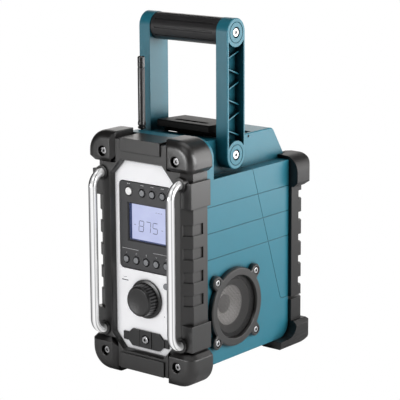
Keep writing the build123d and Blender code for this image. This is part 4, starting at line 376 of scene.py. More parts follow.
@dataclass(frozen=True)
class Moulded:
    """A moulded plastic or rubber finish with a fine grain, soft edges and painted shade in hollows and
    seams.
    """

    name: str
    colour: Colour
    roughness: float = 0.45
    specular: float = 0.5
    grain: float = 2600.0
    grain_depth: float = 0.00004
    edge: float = 0.0006
    mottling: float = 0.06
    mottle_scale: float = 38.0
    coat: float = 0.0
    coat_roughness: float = 0.12
    unevenness: float = 0.05
    # hollow_reach, hollow_shade and hollow_range set painted shade: colour and gloss darken in hollows, in
    # seams and under neighbouring parts.
    hollow_reach: float = 0.014
    hollow_shade: float = 0.25
    hollow_range: Span = (0.35, 0.85)
    # Painted groove shade on the knob, and the darker rings on the cones.
    relief: Grooves | Rings | None = None
    # glow is painted light: the finish gives off light in its own colour, though the part is no lamp.
    glow: float = 0.0

    def material(self) -> bpy.types.Material:
        """Build the node material.

        Returns:
            The material.
        """
        n = Nodes(self.name)
        broad = n.noise(self.mottle_scale, 4.0)
        dark = tuple(c * (1.0 - self.mottling) for c in self.colour)
        light = tuple(min(1.0, c * (1.0 + self.mottling)) for c in self.colour)
        open_colour = n.mix(n.spread(broad.outputs["Fac"], 0.0, 1.0), dark, light)
        # Painted shade: the colour darkens towards black in hollows and seams, found by ambient occlusion.
        painted_shade = n.open_part(self.hollow_reach, self.hollow_range, (self.hollow_shade, 1.0))
        # The knob's painted groove shade, and the cones' rings, darken the colour further.
        if self.relief:
            painted_shade = n.math("MULTIPLY", painted_shade, self.relief.shade(n))
        colour = n.mix(painted_shade, BLACK, open_colour)
        fine = n.noise(self.grain, 2.0)
        smoothest, roughest = self.roughness - self.unevenness, self.roughness + self.unevenness
        rough = n.spread(fine.outputs["Fac"], smoothest, roughest)
        bump = n.add("Bump", Strength=0.5, Distance=self.grain_depth, Height=fine.outputs["Fac"])
        n.put(bump.inputs["Normal"], n.soft_edge(self.edge, 6))
        shader = n.add("BsdfPrincipled", Base_Color=colour, Roughness=rough)
        shader.inputs["Specular IOR Level"].default_value = self.specular
        # Painted shade on the gloss too: the specular tint falls towards black in the same places.
        n.put(shader.inputs["Specular Tint"], n.mix(painted_shade, BLACK, WHITE))
        shader.inputs["Coat Weight"].default_value = self.coat
        shader.inputs["Coat Roughness"].default_value = self.coat_roughness
        # Painted light: light given off in the finish's own colour.
        if self.glow:
            n.put(shader.inputs["Emission Color"], colour)
            shader.inputs["Emission Strength"].default_value = self.glow
        n.put(shader.inputs["Normal"], bump.outputs[0])
        return n.done(shader.outputs[0])


@dataclass(frozen=True)
class Metal:
    """A bright metal finish with faint handling marks, painted shade in hollows and, where given, painted
    reflection bands.
    """

    name: str
    colour: Colour
    roughness: float = 0.08
    streaks: Point = (1.0, 1.0, 1.0)
    edge: float = 0.0002
    mark_scale: float = 900.0
    wear: float = 0.94
    # hollow_reach, hollow_range and hollow_shade set the painted shade in hollows.
    hollow_reach: float = 0.003
    hollow_range: Span = (0.3, 0.8)
    hollow_shade: float = 0.1
    # Bands of painted reflection round a bar: degrees and the light given off there.
    bands: tuple[Span, ...] = ()

    def material(self) -> bpy.types.Material:
        """Build the node material.

        Returns:
            The material.
        """
        n = Nodes(self.name)
        marks = n.noise(self.mark_scale, 5.0, self.streaks)
        rough = n.spread(marks.outputs["Fac"], self.roughness * 0.6, self.roughness * 1.6)
        worn = tuple(c * self.wear for c in self.colour)
        clean = n.mix(n.spread(marks.outputs["Fac"], 0.0, 1.0), worn, self.colour)
        # Painted shade: the metal's colour darkens in hollows, found by ambient occlusion.
        painted_shade = n.open_part(self.hollow_reach, self.hollow_range, (self.hollow_shade, 1.0))
        tint = n.mix(painted_shade, BLACK, clean)
        shader = n.add("BsdfPrincipled", Base_Color=tint, Roughness=rough, Metallic=1.0)
        n.put(shader.inputs["Normal"], n.soft_edge(self.edge, 4))
        # Painted reflections: bands of emitted light fixed to the way the surface faces.
        if self.bands:
            self.add_bands(n, shader)
        return n.done(shader.outputs[0])

    def add_bands(self, n: Nodes, shader: bpy.types.Node) -> None:
        """Paint lengthwise reflection bands round an upright bar, as light given off by the surface and
        set by the way it faces.

        Args:
            n: The material's nodes.
            shader: The surface shader.
        """
        facing = n.add("SeparateXYZ", Vector=n.facing)
        ahead = n.math("MULTIPLY", facing.outputs["Y"], -1.0)
        turn = n.math("ARCTAN2", facing.outputs["X"], ahead)
        share = n.ramp(turn, (-math.pi, math.pi), (0.0, 1.0))
        band = n.add("ValToRGB", Fac=share)
        stops = band.color_ramp.elements
        while len(stops) > 1:
            stops.remove(stops[-1])
        for number, (degrees, light) in enumerate(self.bands):
            share_round = (degrees + 180.0) / 360.0
            stop = stops[0] if number == 0 else stops.new(share_round)
            stop.position = share_round
            stop.color = (light, light, light, 1.0)
        n.put(shader.inputs["Emission Color"], band.outputs[0])
        shader.inputs["Emission Strength"].default_value = 1.0


@dataclass(frozen=True)
class LitDisplay:
    """The backlit display: a glowing field that is slightly uneven."""

    name: str
    colour: Colour
    dimmer_colour: Colour
    unlit_colour: Colour = (0.02, 0.02, 0.03)
    cloud_scale: float = 55.0
    strength: float = 1.0

    def material(self) -> bpy.types.Material:
        """Build the node material.

        Returns:
            The material.
        """
        n = Nodes(self.name)
        cloud = n.noise(self.cloud_scale, 2.0)
        light = n.mix(n.spread(cloud.outputs["Fac"], 0.0, 1.0), self.colour, self.dimmer_colour)
        shader = n.add("BsdfPrincipled", Base_Color=self.unlit_colour, Roughness=0.5)
        n.put(shader.inputs["Emission Color"], light)
        shader.inputs["Emission Strength"].default_value = self.strength
        return n.done(shader.outputs[0])


@dataclass(frozen=True)
class ClearWindow:
    """Clear plastic over the display with faint wiping marks."""

    name: str
    tint: Colour = (0.97, 0.98, 1.0)
    index: float = 1.45
    smear_scale: float = 160.0
    roughness: Span = (0.02, 0.08)

    def material(self) -> bpy.types.Material:
        """Build the node material.

        Returns:
            The material.
        """
        n = Nodes(self.name)
        smear = n.noise(self.smear_scale, 4.0, (1.0, 1.0, 3.0))
        rough = n.spread(smear.outputs["Fac"], *self.roughness)
        clear = n.add("BsdfTransparent", Color=self.tint)
        gloss = n.add("BsdfGlossy", Color=WHITE, Roughness=rough)
        fresnel = n.add("Fresnel", IOR=self.index)
        return n.done(n.blend(fresnel.outputs[0], clear, gloss))


@dataclass(frozen=True)
class FineMesh:
    """A black sheet with a dense grid of small holes."""

    name: str
    colour: Colour
    pitch: float = 0.0016
    hole_share: float = 0.52
    grain: float = 1200.0
    roughness: Span = (0.35, 0.5)

    def material(self) -> bpy.types.Material:
        """Build the node material.

        Returns:
            The material.
        """
        n = Nodes(self.name)
        parts = n.add("SeparateXYZ", Vector=n.place)
        away = []
        for axis in ("Y", "Z"):
            cell = n.math("FRACT", n.math("MULTIPLY", parts.outputs[axis], 1.0 / self.pitch))
            away.append(n.math("ABSOLUTE", n.math("SUBTRACT", cell, 0.5)))
        hole_half = math.sqrt(self.hole_share) / 2.0
        solid = n.math("GREATER_THAN", n.math("MAXIMUM", *away), hole_half)
        fine = n.noise(self.grain, 3.0)
        rough = n.spread(fine.outputs["Fac"], *self.roughness)
        hole = n.add("BsdfTransparent")
        sheet = n.add("BsdfPrincipled", Base_Color=self.colour, Roughness=rough)
        return n.done(n.blend(solid, hole, sheet))


# Painted reflections on the chrome bars, given off as light: degrees to the right of straight ahead, and
# the light added there.
CHROME_PAINTED_REFLECTIONS = (
    (-60.0, 0.01), (-12.0, 0.03), (4.0, 0.35), (18.0, 0.75), (42.0, 0.75), (49.0, 0.22),
    (56.0, 0.22), (62.0, 0.7), (78.0, 0.6), (90.0, 0.2), (112.0, 0.05),
)


@dataclass
class Palette:
    """Every finish of the radio, built once and looked up by name."""

    built: dict[str, bpy.types.Material] = field(default_factory=dict)

    def finishes(self) -> list[object]:
        """List the finishes.

        Returns:
            One object per finish, each with a name and a material method.
        """
        return [
            Moulded(
                "teal", rgb("1e6d7f"), roughness=0.38, specular=0.62, mottling=0.03, edge=0.0007,
                hollow_reach=0.03, hollow_shade=0.12,
            ),
            Moulded(
                "guard_plastic", rgb("171514"), roughness=0.34, specular=1.05, edge=0.0010,
                hollow_reach=0.009, hollow_shade=0.1,
            ),
            Moulded("guard_rear", rgb("141313"), roughness=0.46, specular=0.5, edge=0.0014),
            Moulded(
                "bumper_rubber", rgb("171514"), roughness=0.36, specular=1.0, edge=0.0018, grain=1800.0
            ),
            Moulded("grip_rubber", rgb("2c2b2c"), roughness=0.34, specular=0.45, edge=0.0006),
            Moulded("keypad_grey", rgb("2b2b2e"), roughness=0.46, specular=0.8, grain=3200.0, edge=0.0004),
            # The pale panel and the white button give off a little painted light.
            Moulded("panel_silver", rgb("f1f1f3"), roughness=0.30, mottling=0.01, edge=0.0003, glow=0.24),
            Moulded("button_grey", rgb("8b8d90"), roughness=0.40, edge=0.0003, hollow_shade=0.6),
            Moulded("button_white", rgb("f4f4f4"), roughness=0.30, mottling=0.01, edge=0.0003, glow=0.2),
            Moulded(
                "knob_black", rgb("151415"), roughness=0.32, specular=0.9, edge=0.0005, grain=3600.0,
                relief=Grooves(),
            ),
            Moulded("latch_black", rgb("0e0d0d"), roughness=0.5, specular=0.12, edge=0.0006),
            Moulded("black_plastic", rgb("161617"), roughness=0.42, specular=0.7, edge=0.0004),
            Moulded("antenna_black", rgb("1c1b1c"), roughness=0.34, specular=0.8, edge=0.0003),
            Moulded("antenna_tip", rgb("080808"), roughness=0.08, coat=0.8, edge=0.0003),
            Moulded("circuit_board", rgb("1d5a3a"), roughness=0.40, edge=0.0002),
            Moulded("driver_black", rgb("121213"), roughness=0.45, edge=0.0004),
            Moulded(
                "cone_grey", rgb("c4c0bd"), roughness=0.5, grain=1500.0, edge=0.0003, hollow_shade=0.6,
                relief=Rings(),
            ),
            Moulded("print_white", rgb("e6e6e8"), roughness=0.5, mottling=0.02),
            Moulded("print_dark", rgb("3c3e44"), roughness=0.5, mottling=0.02),
            Moulded("display_digit", rgb("5a66a8"), roughness=0.5, mottling=0.02),
            Moulded("display_edge", rgb("4a78d8"), roughness=0.4, mottling=0.02),
            Metal(
                "chrome", (0.34, 0.34, 0.35), roughness=0.05, streaks=(1.0, 1.0, 0.1),
                bands=CHROME_PAINTED_REFLECTIONS,
            ),
            Metal("steel", (0.66, 0.66, 0.67), roughness=0.22),
            Metal("steel_dark", (0.05, 0.05, 0.05), roughness=0.4),
            LitDisplay("display_blue", rgb("c3c9e7"), rgb("b9bfe1")),
            ClearWindow("display_clear"),
            FineMesh("grille_black", rgb("2c2b2b")),
        ]

    def build(self) -> None:
        """Build all the materials."""
        for finish in self.finishes():
            self.built[finish.name] = finish.material()

    def __getitem__(self, name: str) -> bpy.types.Material:
        """Look a material up by its finish's name."""
        return self.built[name]


@dataclass
class Shop:
    """What every sub-assembly needs: the loaded frame and the palette."""

    frame: dict
    palette: Palette

    def paint(self, material: str, *nodes: str) -> None:
        """Give CAD nodes one material and smooth shading with crisp edges.

        Args:
            material: The finish's name.
            *nodes: The CAD nodes' names.
        """
        for name in nodes:
            piece = self.frame["nodes"][name]
            piece.data.materials.clear()
            piece.data.materials.append(self.palette[material])
            self.smooth(piece)
            log.info("painted %s with %s", name, material)

    def paint_tip(self, node: str, below: str, above: str, height: float) -> None:
        """Give the faces of one CAD node two materials, parted at a height.

        Args:
            node: The CAD node's name.
            below: The lower finish's name.
            above: The upper finish's name.
            height: The height where they part, in millimetres.
        """
        piece = self.frame["nodes"][node]
        piece.data.materials.clear()
        for name in (below, above):
            piece.data.materials.append(self.palette[name])
        for face in piece.data.polygons:
            face.material_index = int(face.center.z > mm(height))
        self.smooth(piece)
        log.info("painted %s with %s and %s", node, below, above)

    def smooth(self, piece: bpy.types.Object) -> None:
        """Shade a piece smooth but for its sharp edges.

        Args:
            piece: The mesh object.
        """
        weld = piece.modifiers.new("weld", "WELD")
        weld.merge_threshold = WELD_REACH
        split = piece.modifiers.new("split", "EDGE_SPLIT")
        split.split_angle = math.radians(SHARP_EDGE)
        split.use_edge_sharp = False
        for face in piece.data.polygons:
            face.use_smooth = True

    def own(
        self, name: str, verts: list[Vector], faces: list[list[int]], material: str, body: str
    ) -> bpy.types.Object:
        """Make a mesh piece that rides on a CAD body.

        Args:
            name: The piece's name.
            verts: Vertices in the row frame, in metres.
            faces: Faces as lists of vertex numbers.
            material: The finish's name.
            body: The CAD body it rides on.

        Returns:
            The new object.
        """
        mesh = bpy.data.meshes.new(name)
        mesh.from_pydata([tuple(v) for v in verts], [], faces)
        mesh.update()
        piece = bpy.data.objects.new(name, mesh)
        bpy.context.scene.collection.objects.link(piece)
        piece.data.materials.append(self.palette[material])
        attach(piece, body)
        log.info("built %s with %d faces", name, len(faces))
        return piece


def rounded(points: Outline, radii: dict[int, float], steps: int = 8) -> Outline:
    """Round some corners of an outline.

    Args:
        points: The outline's corners in order, in millimetres.
        radii: Radius by corner number.
        steps: Segments in each arc.

    Returns:
        The outline with arcs in place of those corners.
    """
    made: Outline = []
    for number, point in enumerate(points):
        corner = Vector(point)
        if number not in radii:
            made.append(tuple(corner))
            continue
        before = (Vector(points[number - 1]) - corner).normalized()
        after = (Vector(points[(number + 1) % len(points)]) - corner).normalized()
        half = before.angle(after) / 2
        reach = radii[number] / math.tan(half)
        centre = corner + (before + after).normalized() * radii[number] / math.sin(half)
        first, last = corner + before * reach - centre, corner + after * reach - centre
        turn = first.angle_signed(last)
        for step in range(steps + 1):
            spoke = first.copy()
            spoke.rotate(Matrix.Rotation(-turn * step / steps, 2))
            made.append(tuple(centre + spoke))
    return made


def circle(middle: Span, radius: float, sides: int = 28) -> Outline:
    """Make a round outline.

    Args:
        middle: The centre, in millimetres.
        radius: The radius, in millimetres.
        sides: Number of sides.

    Returns:
        The outline.
    """
    turn = 2 * math.pi / sides
    return [
        (middle[0] + radius * math.cos(turn * n), middle[1] + radius * math.sin(turn * n))
        for n in range(sides)
    ]


def rectangle(left: float, right: float, near: float, far: float) -> Outline:
    """Make a rectangular outline from its limits along the plane's two axes."""
    return [(left, near), (right, near), (right, far), (left, far)]


class Plane(Enum):
    """The plane that an outline is drawn on; the form runs square to it."""

    FRONT = 1  # x and z, running along the depth
    SIDE = 2  # depth and z, running along x
    PLAN = 3  # x and depth, running along z

    def place(self, point: Span, along: float) -> Vector:
        """Place an outline's point.

        Args:
            point: The point on the plane, in millimetres.
            along: Its place square to the plane, in millimetres.

        Returns:
            The point in the row frame, in metres.
        """
        if self is Plane.FRONT:
            return at(point[0], along, point[1])
        if self is Plane.SIDE:
            return at(along, point[0], point[1])
        return at(point[0], point[1], along)


class Form:
    """A moulded shape made of extruded outlines that are joined, cut and rounded."""

    def __init__(self, plane: Plane, outline: Outline, low: float, high: float) -> None:
        """Extrude an outline.

        Args:
            plane: The plane that it is drawn on.
            outline: Its corners in order, in millimetres.
            low: Where the form starts square to the plane, in millimetres.
            high: Where it ends, in millimetres.
        """
        count = len(outline)
        verts = [tuple(plane.place(point, end)) for end in (low, high) for point in outline]
        faces = [list(range(count)), list(range(count, 2 * count))]
        for n in range(count):
            m = (n + 1) % count
            faces.append([n, m, count + m, count + n])
        mesh = bpy.data.meshes.new("form")
        mesh.from_pydata(verts, [], faces)
        self.holder = bpy.data.objects.new("form", mesh)
        bpy.context.scene.collection.objects.link(self.holder)
        self.edit(lambda solid: bmesh.ops.recalc_face_normals(solid, faces=solid.faces))

    def edit(self, change: Callable[[bmesh.types.BMesh], object]) -> Form:
        """Change the mesh.

        Args:
            change: A function that changes it in place.

        Returns:
            This form.
        """
        solid = bmesh.new()
        solid.from_mesh(self.holder.data)
        change(solid)
        solid.to_mesh(self.holder.data)
        solid.free()
        return self

    def combine(self, operation: str, other: Form) -> Form:
        """Join, cut or cross this form with another, which is used up.

        Args:
            operation: UNION, DIFFERENCE or INTERSECT.
            other: The other form.

        Returns:
            This form.
        """
        step = self.holder.modifiers.new("step", "BOOLEAN")
        step.operation, step.solver, step.object = operation, "EXACT", other.holder
        seen = self.holder.evaluated_get(bpy.context.evaluated_depsgraph_get())
        made = bpy.data.meshes.new_from_object(seen)
        self.holder.modifiers.clear()
        self.holder.data = made
        bpy.data.objects.remove(other.holder)
        return self

    def join(self, other: Form) -> Form:
        """Add another form."""
        return self.combine("UNION", other)

    def cut(self, other: Form) -> Form:
        """Take another form away."""
        return self.combine("DIFFERENCE", other)

    def meet(self, other: Form) -> Form:
        """Keep only what lies in another form as well."""
        return self.combine("INTERSECT", other)

    def round_edges(
        self, radius: float, segments: int, chosen: Callable[[Vector, Vector], bool]
    ) -> Form:
        """Round or bevel edges.

        Args:
            radius: The radius or the bevel's width, in millimetres.
            segments: One for a flat bevel, more for a round one.
            chosen: Says whether an edge is taken, from its two ends as x, depth and z in millimetres.

        Returns:
            This form.
        """

        def change(solid: bmesh.types.BMesh) -> None:
            """Bevel the chosen edges.

            Args:
                solid: The mesh to change.
            """
            taken = []
            for edge in solid.edges:
                ends = [Vector((v.co.x, v.co.y - FRONT_Y, v.co.z)) / mm(1.0) for v in edge.verts]
                if chosen(*ends):
                    taken.append(edge)
            bmesh.ops.bevel(
                solid, geom=taken, offset=mm(radius), segments=segments, profile=0.5,
                affect="EDGES", clamp_overlap=False,
            )

        return self.edit(change)

    def mirrored(self) -> Form:
        """Turn the form into its mirror image in the centre plane.

        Returns:
            This form.
        """

        def change(solid: bmesh.types.BMesh) -> None:
            """Flip the mesh.

            Args:
                solid: The mesh to change.
            """
            for vert in solid.verts:
                vert.co.x = -vert.co.x
            bmesh.ops.reverse_faces(solid, faces=solid.faces)

        return self.edit(change)

    def hand_over(
        self, shop: Shop, name: str, material: str, body: str, *nodes: str, slot: str = ""
    ) -> bpy.types.Object:
        """Finish the form as a piece of the radio.

        Args:
            shop: The frame and palette.
            name: The piece's name.
            material: The finish's name.
            body: The CAD body it rides on.
            *nodes: The CAD nodes it stands for.
            slot: The record's slot, where it isn't named as the finish is; not used.

        Returns:
            The piece.
        """
        piece = self.holder
        piece.name = name
        piece.data.name = name
        piece.data.materials.clear()
        piece.data.materials.append(shop.palette[material])
        shop.smooth(piece)
        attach(piece, body)
        if nodes:
            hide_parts(*nodes)
        log.info("built %s in place of %s", name, nodes)
        return piece


@dataclass
class FrontBumper:
    """One rubber corner bumper of the front, drawn for the right-hand side."""

    shop: Shop
    level: str
    side: Side
    outer: float
    inner: float
    corner_r: float
    edge_r: float
    notch: float
    screw_z: float
    inner_x: float = 39.5
    half: float = 81.5
    back: float = 38.0
    rim: float = 5.5
    bevel: float = 5.5
    screw_x: float = 56.05
    recess_r: float = 6.3
    recess: float = 5.4
    corner_steps: int = 12
    edge_steps: int = 7

    def build(self) -> None:
        """Build the bumper in place of the CAD one."""
        way = 1 if self.outer > self.inner else -1
        low, high = sorted((self.outer, self.inner))
        box = rectangle(self.inner_x, self.half, self.inner, self.outer)
        outer_corner = 2
        face = rounded(box, {outer_corner: self.corner_r}, self.corner_steps)
        form = Form(Plane.FRONT, face, 0, self.back)

        def outside(first: Vector, last: Vector) -> bool:
            """Choose the outer edges of the front face.

            Args:
                first: One end of the edge.
                last: The other end.

            Returns:
                Whether the edge is taken.
            """
            front = first.y < TOUCH and last.y < TOUCH
            middle = (first + last) / 2
            off_side = middle.x > self.inner_x + OVERCUT
            return front and off_side and way * (middle.z - self.inner) > OVERCUT

        form.round_edges(self.edge_r, self.edge_steps, outside)

        def end(first: Vector, last: Vector) -> bool:
            """Choose the outer edges of the end that faces the bars.

            Args:
                first: One end of the edge.
                last: The other end.

            Returns:
                Whether the edge is taken.
            """
            level = abs(first.z - self.inner) < TOUCH and abs(last.z - self.inner) < TOUCH
            middle = (first + last) / 2
            return level and middle.x > self.inner_x + OVERCUT and middle.y < self.back - OVERCUT

        form.round_edges(self.rim, 1, end)
        x, deep = self.inner_x, self.bevel
        past = x - OVERCUT
        corner = [(past, -OVERCUT), (x + deep, -OVERCUT), (x + deep, 0), (x, deep), (past, deep)]
        form.cut(Form(Plane.PLAN, corner, low - OVERCUT, high + OVERCUT))
        leg = self.notch + OVERCUT
        below = self.inner - way * OVERCUT
        notch = [(past, below), (x + leg, below), (past, self.inner + way * leg)]
        form.cut(Form(Plane.FRONT, notch, -OVERCUT, self.back + OVERCUT))
        well = circle((self.screw_x, self.screw_z), self.recess_r)
        form.cut(Form(Plane.FRONT, well, -OVERCUT, self.recess))
        if self.side is Side.LEFT:
            form.mirrored()
        label = f"{self.level}_{self.side.label}"
        form.hand_over(self.shop, f"bumper_{label}", "bumper_rubber", "case", f"front_bumper_{label}")


@dataclass
class LatchLever:
    """The door latch: a wide lever with a front lip, a slot in its top and a finger tab."""

    shop: Shop
    half: float = 39.8
    front: float = 83.0
    rear: float = 151.0
    top: float = 302.0
    rear_top: float = 299.5
    lip_bottom: float = 294.0
    bottom: float = 285.6
    body_front: float = 111.0
    nose: float = 1.5
    throat: float = 2.0
    heel: Span = (5.5, 3.6)
    slope: Span = (15.0, 8.0)
    tab_half: float = 21.0
    tab_front: float = 96.0
    tab_rear: float = 115.0
    tab: Span = (286.0, 289.5)
    slot: Span = (96.0, 104.0)
    slot_half: float = 25.0
    slot_depth: float = 3.2
    corner_r: float = 1.5
    skirt_half: float = 39.5
    skirt: Span = (97.0, 114.0)
    skirt_bottom: float = 286.3

    def side_view(self) -> Outline:
        """Draw the lever's body from the side.

        Returns:
            The outline as depth and height.
        """
        return [
            (self.body_front, self.bottom),
            (self.rear - self.heel[0], self.bottom),
            (self.rear, self.bottom + self.heel[1]),
            (self.rear, self.rear_top - self.slope[1]),
            (self.rear - self.slope[0], self.rear_top),
            (self.front + self.nose, self.top),
            (self.front, self.top - self.nose),
            (self.front, self.lip_bottom),
            (self.tab_front + self.throat, self.lip_bottom - self.throat),
        ]

    def build(self) -> None:
        """Build the lever in place of the CAD one."""
        lever = Form(Plane.SIDE, self.side_view(), -self.half, self.half)
        corners = {n: self.corner_r for n in range(4)}
        tab = rectangle(-self.tab_half, self.tab_half, self.tab_front, self.tab_rear)
        lever.join(Form(Plane.PLAN, rounded(tab, corners, 3), *self.tab))
        skirt = rectangle(-self.skirt_half, self.skirt_half, *self.skirt)
        lever.join(Form(Plane.PLAN, skirt, self.skirt_bottom, self.lip_bottom + OVERCUT))
        hole = rounded(rectangle(-self.slot_half, self.slot_half, *self.slot), corners, 3)
        lever.cut(Form(Plane.PLAN, hole, self.top - self.slot_depth, self.top + 2 * OVERCUT))
        lever.hand_over(
            self.shop, "latch_lever", "latch_black", "latch", "door_latch", slot="black_plastic"
        )


@dataclass
class Deck:
    """The raised deck between the rim and the latch, notched round the antenna's foot."""

    shop: Shop
    half: float = 50.3
    front: float = 57.0
    rear: float = 92.0
    low: float = 275.0
    top: float = 287.0
    notch: Span = (-38.0, 75.0)

    def build(self) -> None:
        """Build the deck on the tower."""
        shape = [
            (self.notch[0], self.front),
            (self.half, self.front),
            (self.half, self.rear),
            (-self.half, self.rear),
            (-self.half, self.notch[1]),
            self.notch,
        ]
        Form(Plane.PLAN, shape, self.low, self.top).hand_over(self.shop, "latch_deck", "teal", "case")


@dataclass
class RearGuard:
    """The rear guards: corner bumpers, strips with wrapped windows and the two feet."""

    shop: Shop
    half: float = 81.5
    strip_half: float = 72.5
    core_half: float = 60.2
    body_rear: float = 207.0
    core_rear: float = 224.0
    strip_end: float = 232.5
    strip_inner: float = 46.0
    strip_bevel: float = 5.0
    reach: float = 237.9
    inner: float = 44.0
    bevel: float = 5.5
    plan_r: float = 8.0
    bumper: Span = (211.0, 249.5)
    bumper_r: float = 20.0
    bumper_step: float = 6.0
    under_cut: Span = (11.0, 6.5)
    seat_half: float = 50.7
    seat_front: float = 200.0
    seat_top: float = 245.2
    strip: Span = (69.0, 212.0)
    lower_strip: Span = (36.0, 65.6)
    windows: tuple[float, ...] = (198.3, 170.6, 142.0, 114.2, 86.5)
    window_h: float = 11.0
    window_deep: float = 2.4
    window_wide: float = 12.0
    window_blend: float = 5.0
    plate_half: float = 47.0
    plate: Span = (220.0, 242.0)
    lower_plate: Span = (22.0, 65.6)
    foot_top: float = 38.0
    foot_front: float = 175.0
    foot_flat: float = 202.4
    foot_inner: float = 42.0
    foot_bevel: float = 5.0
    foot_under: tuple[Span, ...] = ((0.0, 17.85), (4.3, 9.7), (11.4, 3.6), (19.2, 0.6))
    foot_rear_r: float = 18.0
    foot_front_r: float = 16.0
    foot_side_r: float = 25.0
    housing_front: float = 150.0
    housing_bottom: float = 21.8
    screw_r: float = 6.3
    screw_deep: float = 5.4
    screw: Span = (52.0, 30.0)
    door_screw_z: float = 234.0

    def plan(self) -> Outline:
        """Draw the bumpers' plan on the right-hand side.

        Returns:
            The outline as x and depth.
        """
        corners = [
            (self.inner, self.foot_front - OVERCUT),
            (self.half, self.foot_front - OVERCUT),
            (self.half, self.reach),
            (self.inner + self.bevel, self.reach),
            (self.inner, self.reach - self.bevel),
        ]
        rear_corner = 2
        return rounded(corners, {rear_corner: self.plan_r})

    def strips(self, low: float, high: float) -> Form:
        """Build one side strip.

        Args:
            low: Its lower end.
            high: Its upper end.

        Returns:
            The strip.
        """
        shape = [
            (self.core_half, self.body_rear),
            (self.strip_half, self.body_rear),
            (self.strip_half, self.strip_end - self.strip_bevel),
            (self.strip_half - self.strip_bevel, self.strip_end),
            (self.strip_inner, self.strip_end),
            (self.strip_inner, self.core_rear),
            (self.core_half, self.core_rear),
        ]
        return Form(Plane.PLAN, shape, low, high)

    def recess(self, form: Form, z: float) -> None:
        """Sink the screw's recess at a height."""
        well = circle((self.screw[0], z), self.screw_r)
        form.cut(Form(Plane.FRONT, well, self.reach - self.screw_deep, self.reach + OVERCUT))

    def cut_windows(self, form: Form) -> None:
        """Cut the windows that run round the strip's corner.

        Args:
            form: The form to cut.
        """
        x, d = self.strip_half, self.strip_end
        deep, wide, blend = self.window_deep, self.window_wide, self.window_blend
        wrap = [
            (x - deep, d - wide),
            (x + OVERCUT, d - wide),
            (x + OVERCUT, d + OVERCUT),
            (x - wide, d + OVERCUT),
            (x - wide, d - deep),
            (x - deep - blend, d - deep),
            (x - deep, d - deep - blend),
        ]
        for z in self.windows:
            form.cut(Form(Plane.PLAN, wrap, z - self.window_h / 2, z + self.window_h / 2))

    def upper(self) -> Form:
        """Build the right half of the upper guard.

        Returns:
            The form.
        """
        low, high = self.bumper
        step, bevel = self.bumper_step, self.bevel
        face = [
            (self.inner, high),
            (self.inner, low + step),
            (self.inner + step, low),
            (self.half - bevel, low),
            (self.half, low + bevel),
            (self.half, high),
        ]
        top_corner = 5
        face = rounded(face, {top_corner: self.bumper_r})
        form = Form(Plane.FRONT, face, self.body_rear, self.reach + OVERCUT)
        form.meet(Form(Plane.PLAN, self.plan(), low - OVERCUT, high + OVERCUT))
        past, under = self.reach + OVERCUT, low - OVERCUT / 2
        back, rise = self.under_cut
        lower_edge = [(self.reach - back, under), (past, under), (past, low + rise)]
        form.cut(Form(Plane.SIDE, lower_edge, 0, self.half + OVERCUT))
        form.join(self.strips(*self.strip))
        seat = rectangle(0, self.seat_half, self.seat_front, self.core_rear)
        form.cut(Form(Plane.PLAN, seat, low - OVERCUT, high + OVERCUT))
        core = rectangle(0, self.core_half, self.seat_front, self.core_rear)
        form.cut(Form(Plane.PLAN, core, low - OVERCUT, self.seat_top))
        self.cut_windows(form)
        plate = rectangle(-OVERCUT, self.plate_half, *self.plate)
        form.join(Form(Plane.FRONT, plate, self.core_rear, self.strip_end))
        self.recess(form, self.door_screw_z)
        return form

    def lower(self) -> Form:
        """Build the right half of the lower guard.

        Returns:
            The form.
        """
        top, bevel = self.foot_top, self.foot_bevel
        front, start = self.foot_front, self.foot_under[0][1]
        side = [
            (self.foot_flat, 0.0),
            (self.reach, 0.0),
            (self.reach, top - bevel),
            (self.reach - bevel, top),
            (self.body_rear, top),
            (self.body_rear, start),
            *[(front + ahead, height) for ahead, height in self.foot_under],
        ]
        side = rounded(side, {1: self.foot_rear_r, 5: self.foot_front_r})
        form = Form(Plane.SIDE, side, 0, self.half + OVERCUT)
        form.meet(Form(Plane.PLAN, self.plan(), -OVERCUT, top + OVERCUT))
        face = [
            (self.foot_inner, -OVERCUT),
            (self.half, 0),
            (self.half, top - bevel),
            (self.half - bevel, top),
            (self.foot_inner, top),
        ]
        face = rounded(face, {1: self.foot_side_r})
        form.meet(Form(Plane.FRONT, face, front - 2 * OVERCUT, self.reach + 2 * OVERCUT))
        form.join(self.strips(*self.lower_strip))
        above = self.lower_strip[1] + OVERCUT
        housing = rectangle(self.housing_front, self.core_rear, self.housing_bottom, above)
        form.cut(Form(Plane.SIDE, housing, -OVERCUT, self.core_half))
        plate = rectangle(-OVERCUT, self.plate_half, *self.lower_plate)
        form.join(Form(Plane.FRONT, plate, self.core_rear, self.strip_end))
        self.recess(form, self.screw[1])
        return form

    def build(self) -> None:
        """Build both guards in place of the CAD ones."""
        for make, name, body, node in (
            (self.upper, "rear_guard_top", "door", "rear_guard_upper"),
            (self.lower, "rear_guard_foot", "case", "rear_guard_lower"),
        ):
            form = make()
            form.join(make().mirrored())
            form.hand_over(self.shop, name, "guard_rear", body, node, slot="guard_plastic")


# The lit segments of each digit from 0 to 9, clockwise from the top with g in the middle.
DIGIT_SEGMENTS = (
    "abcdef", "bc", "abged", "abgcd", "fgbc", "afgcd", "afgedc", "abc", "abcdefg", "abcdfg",
)


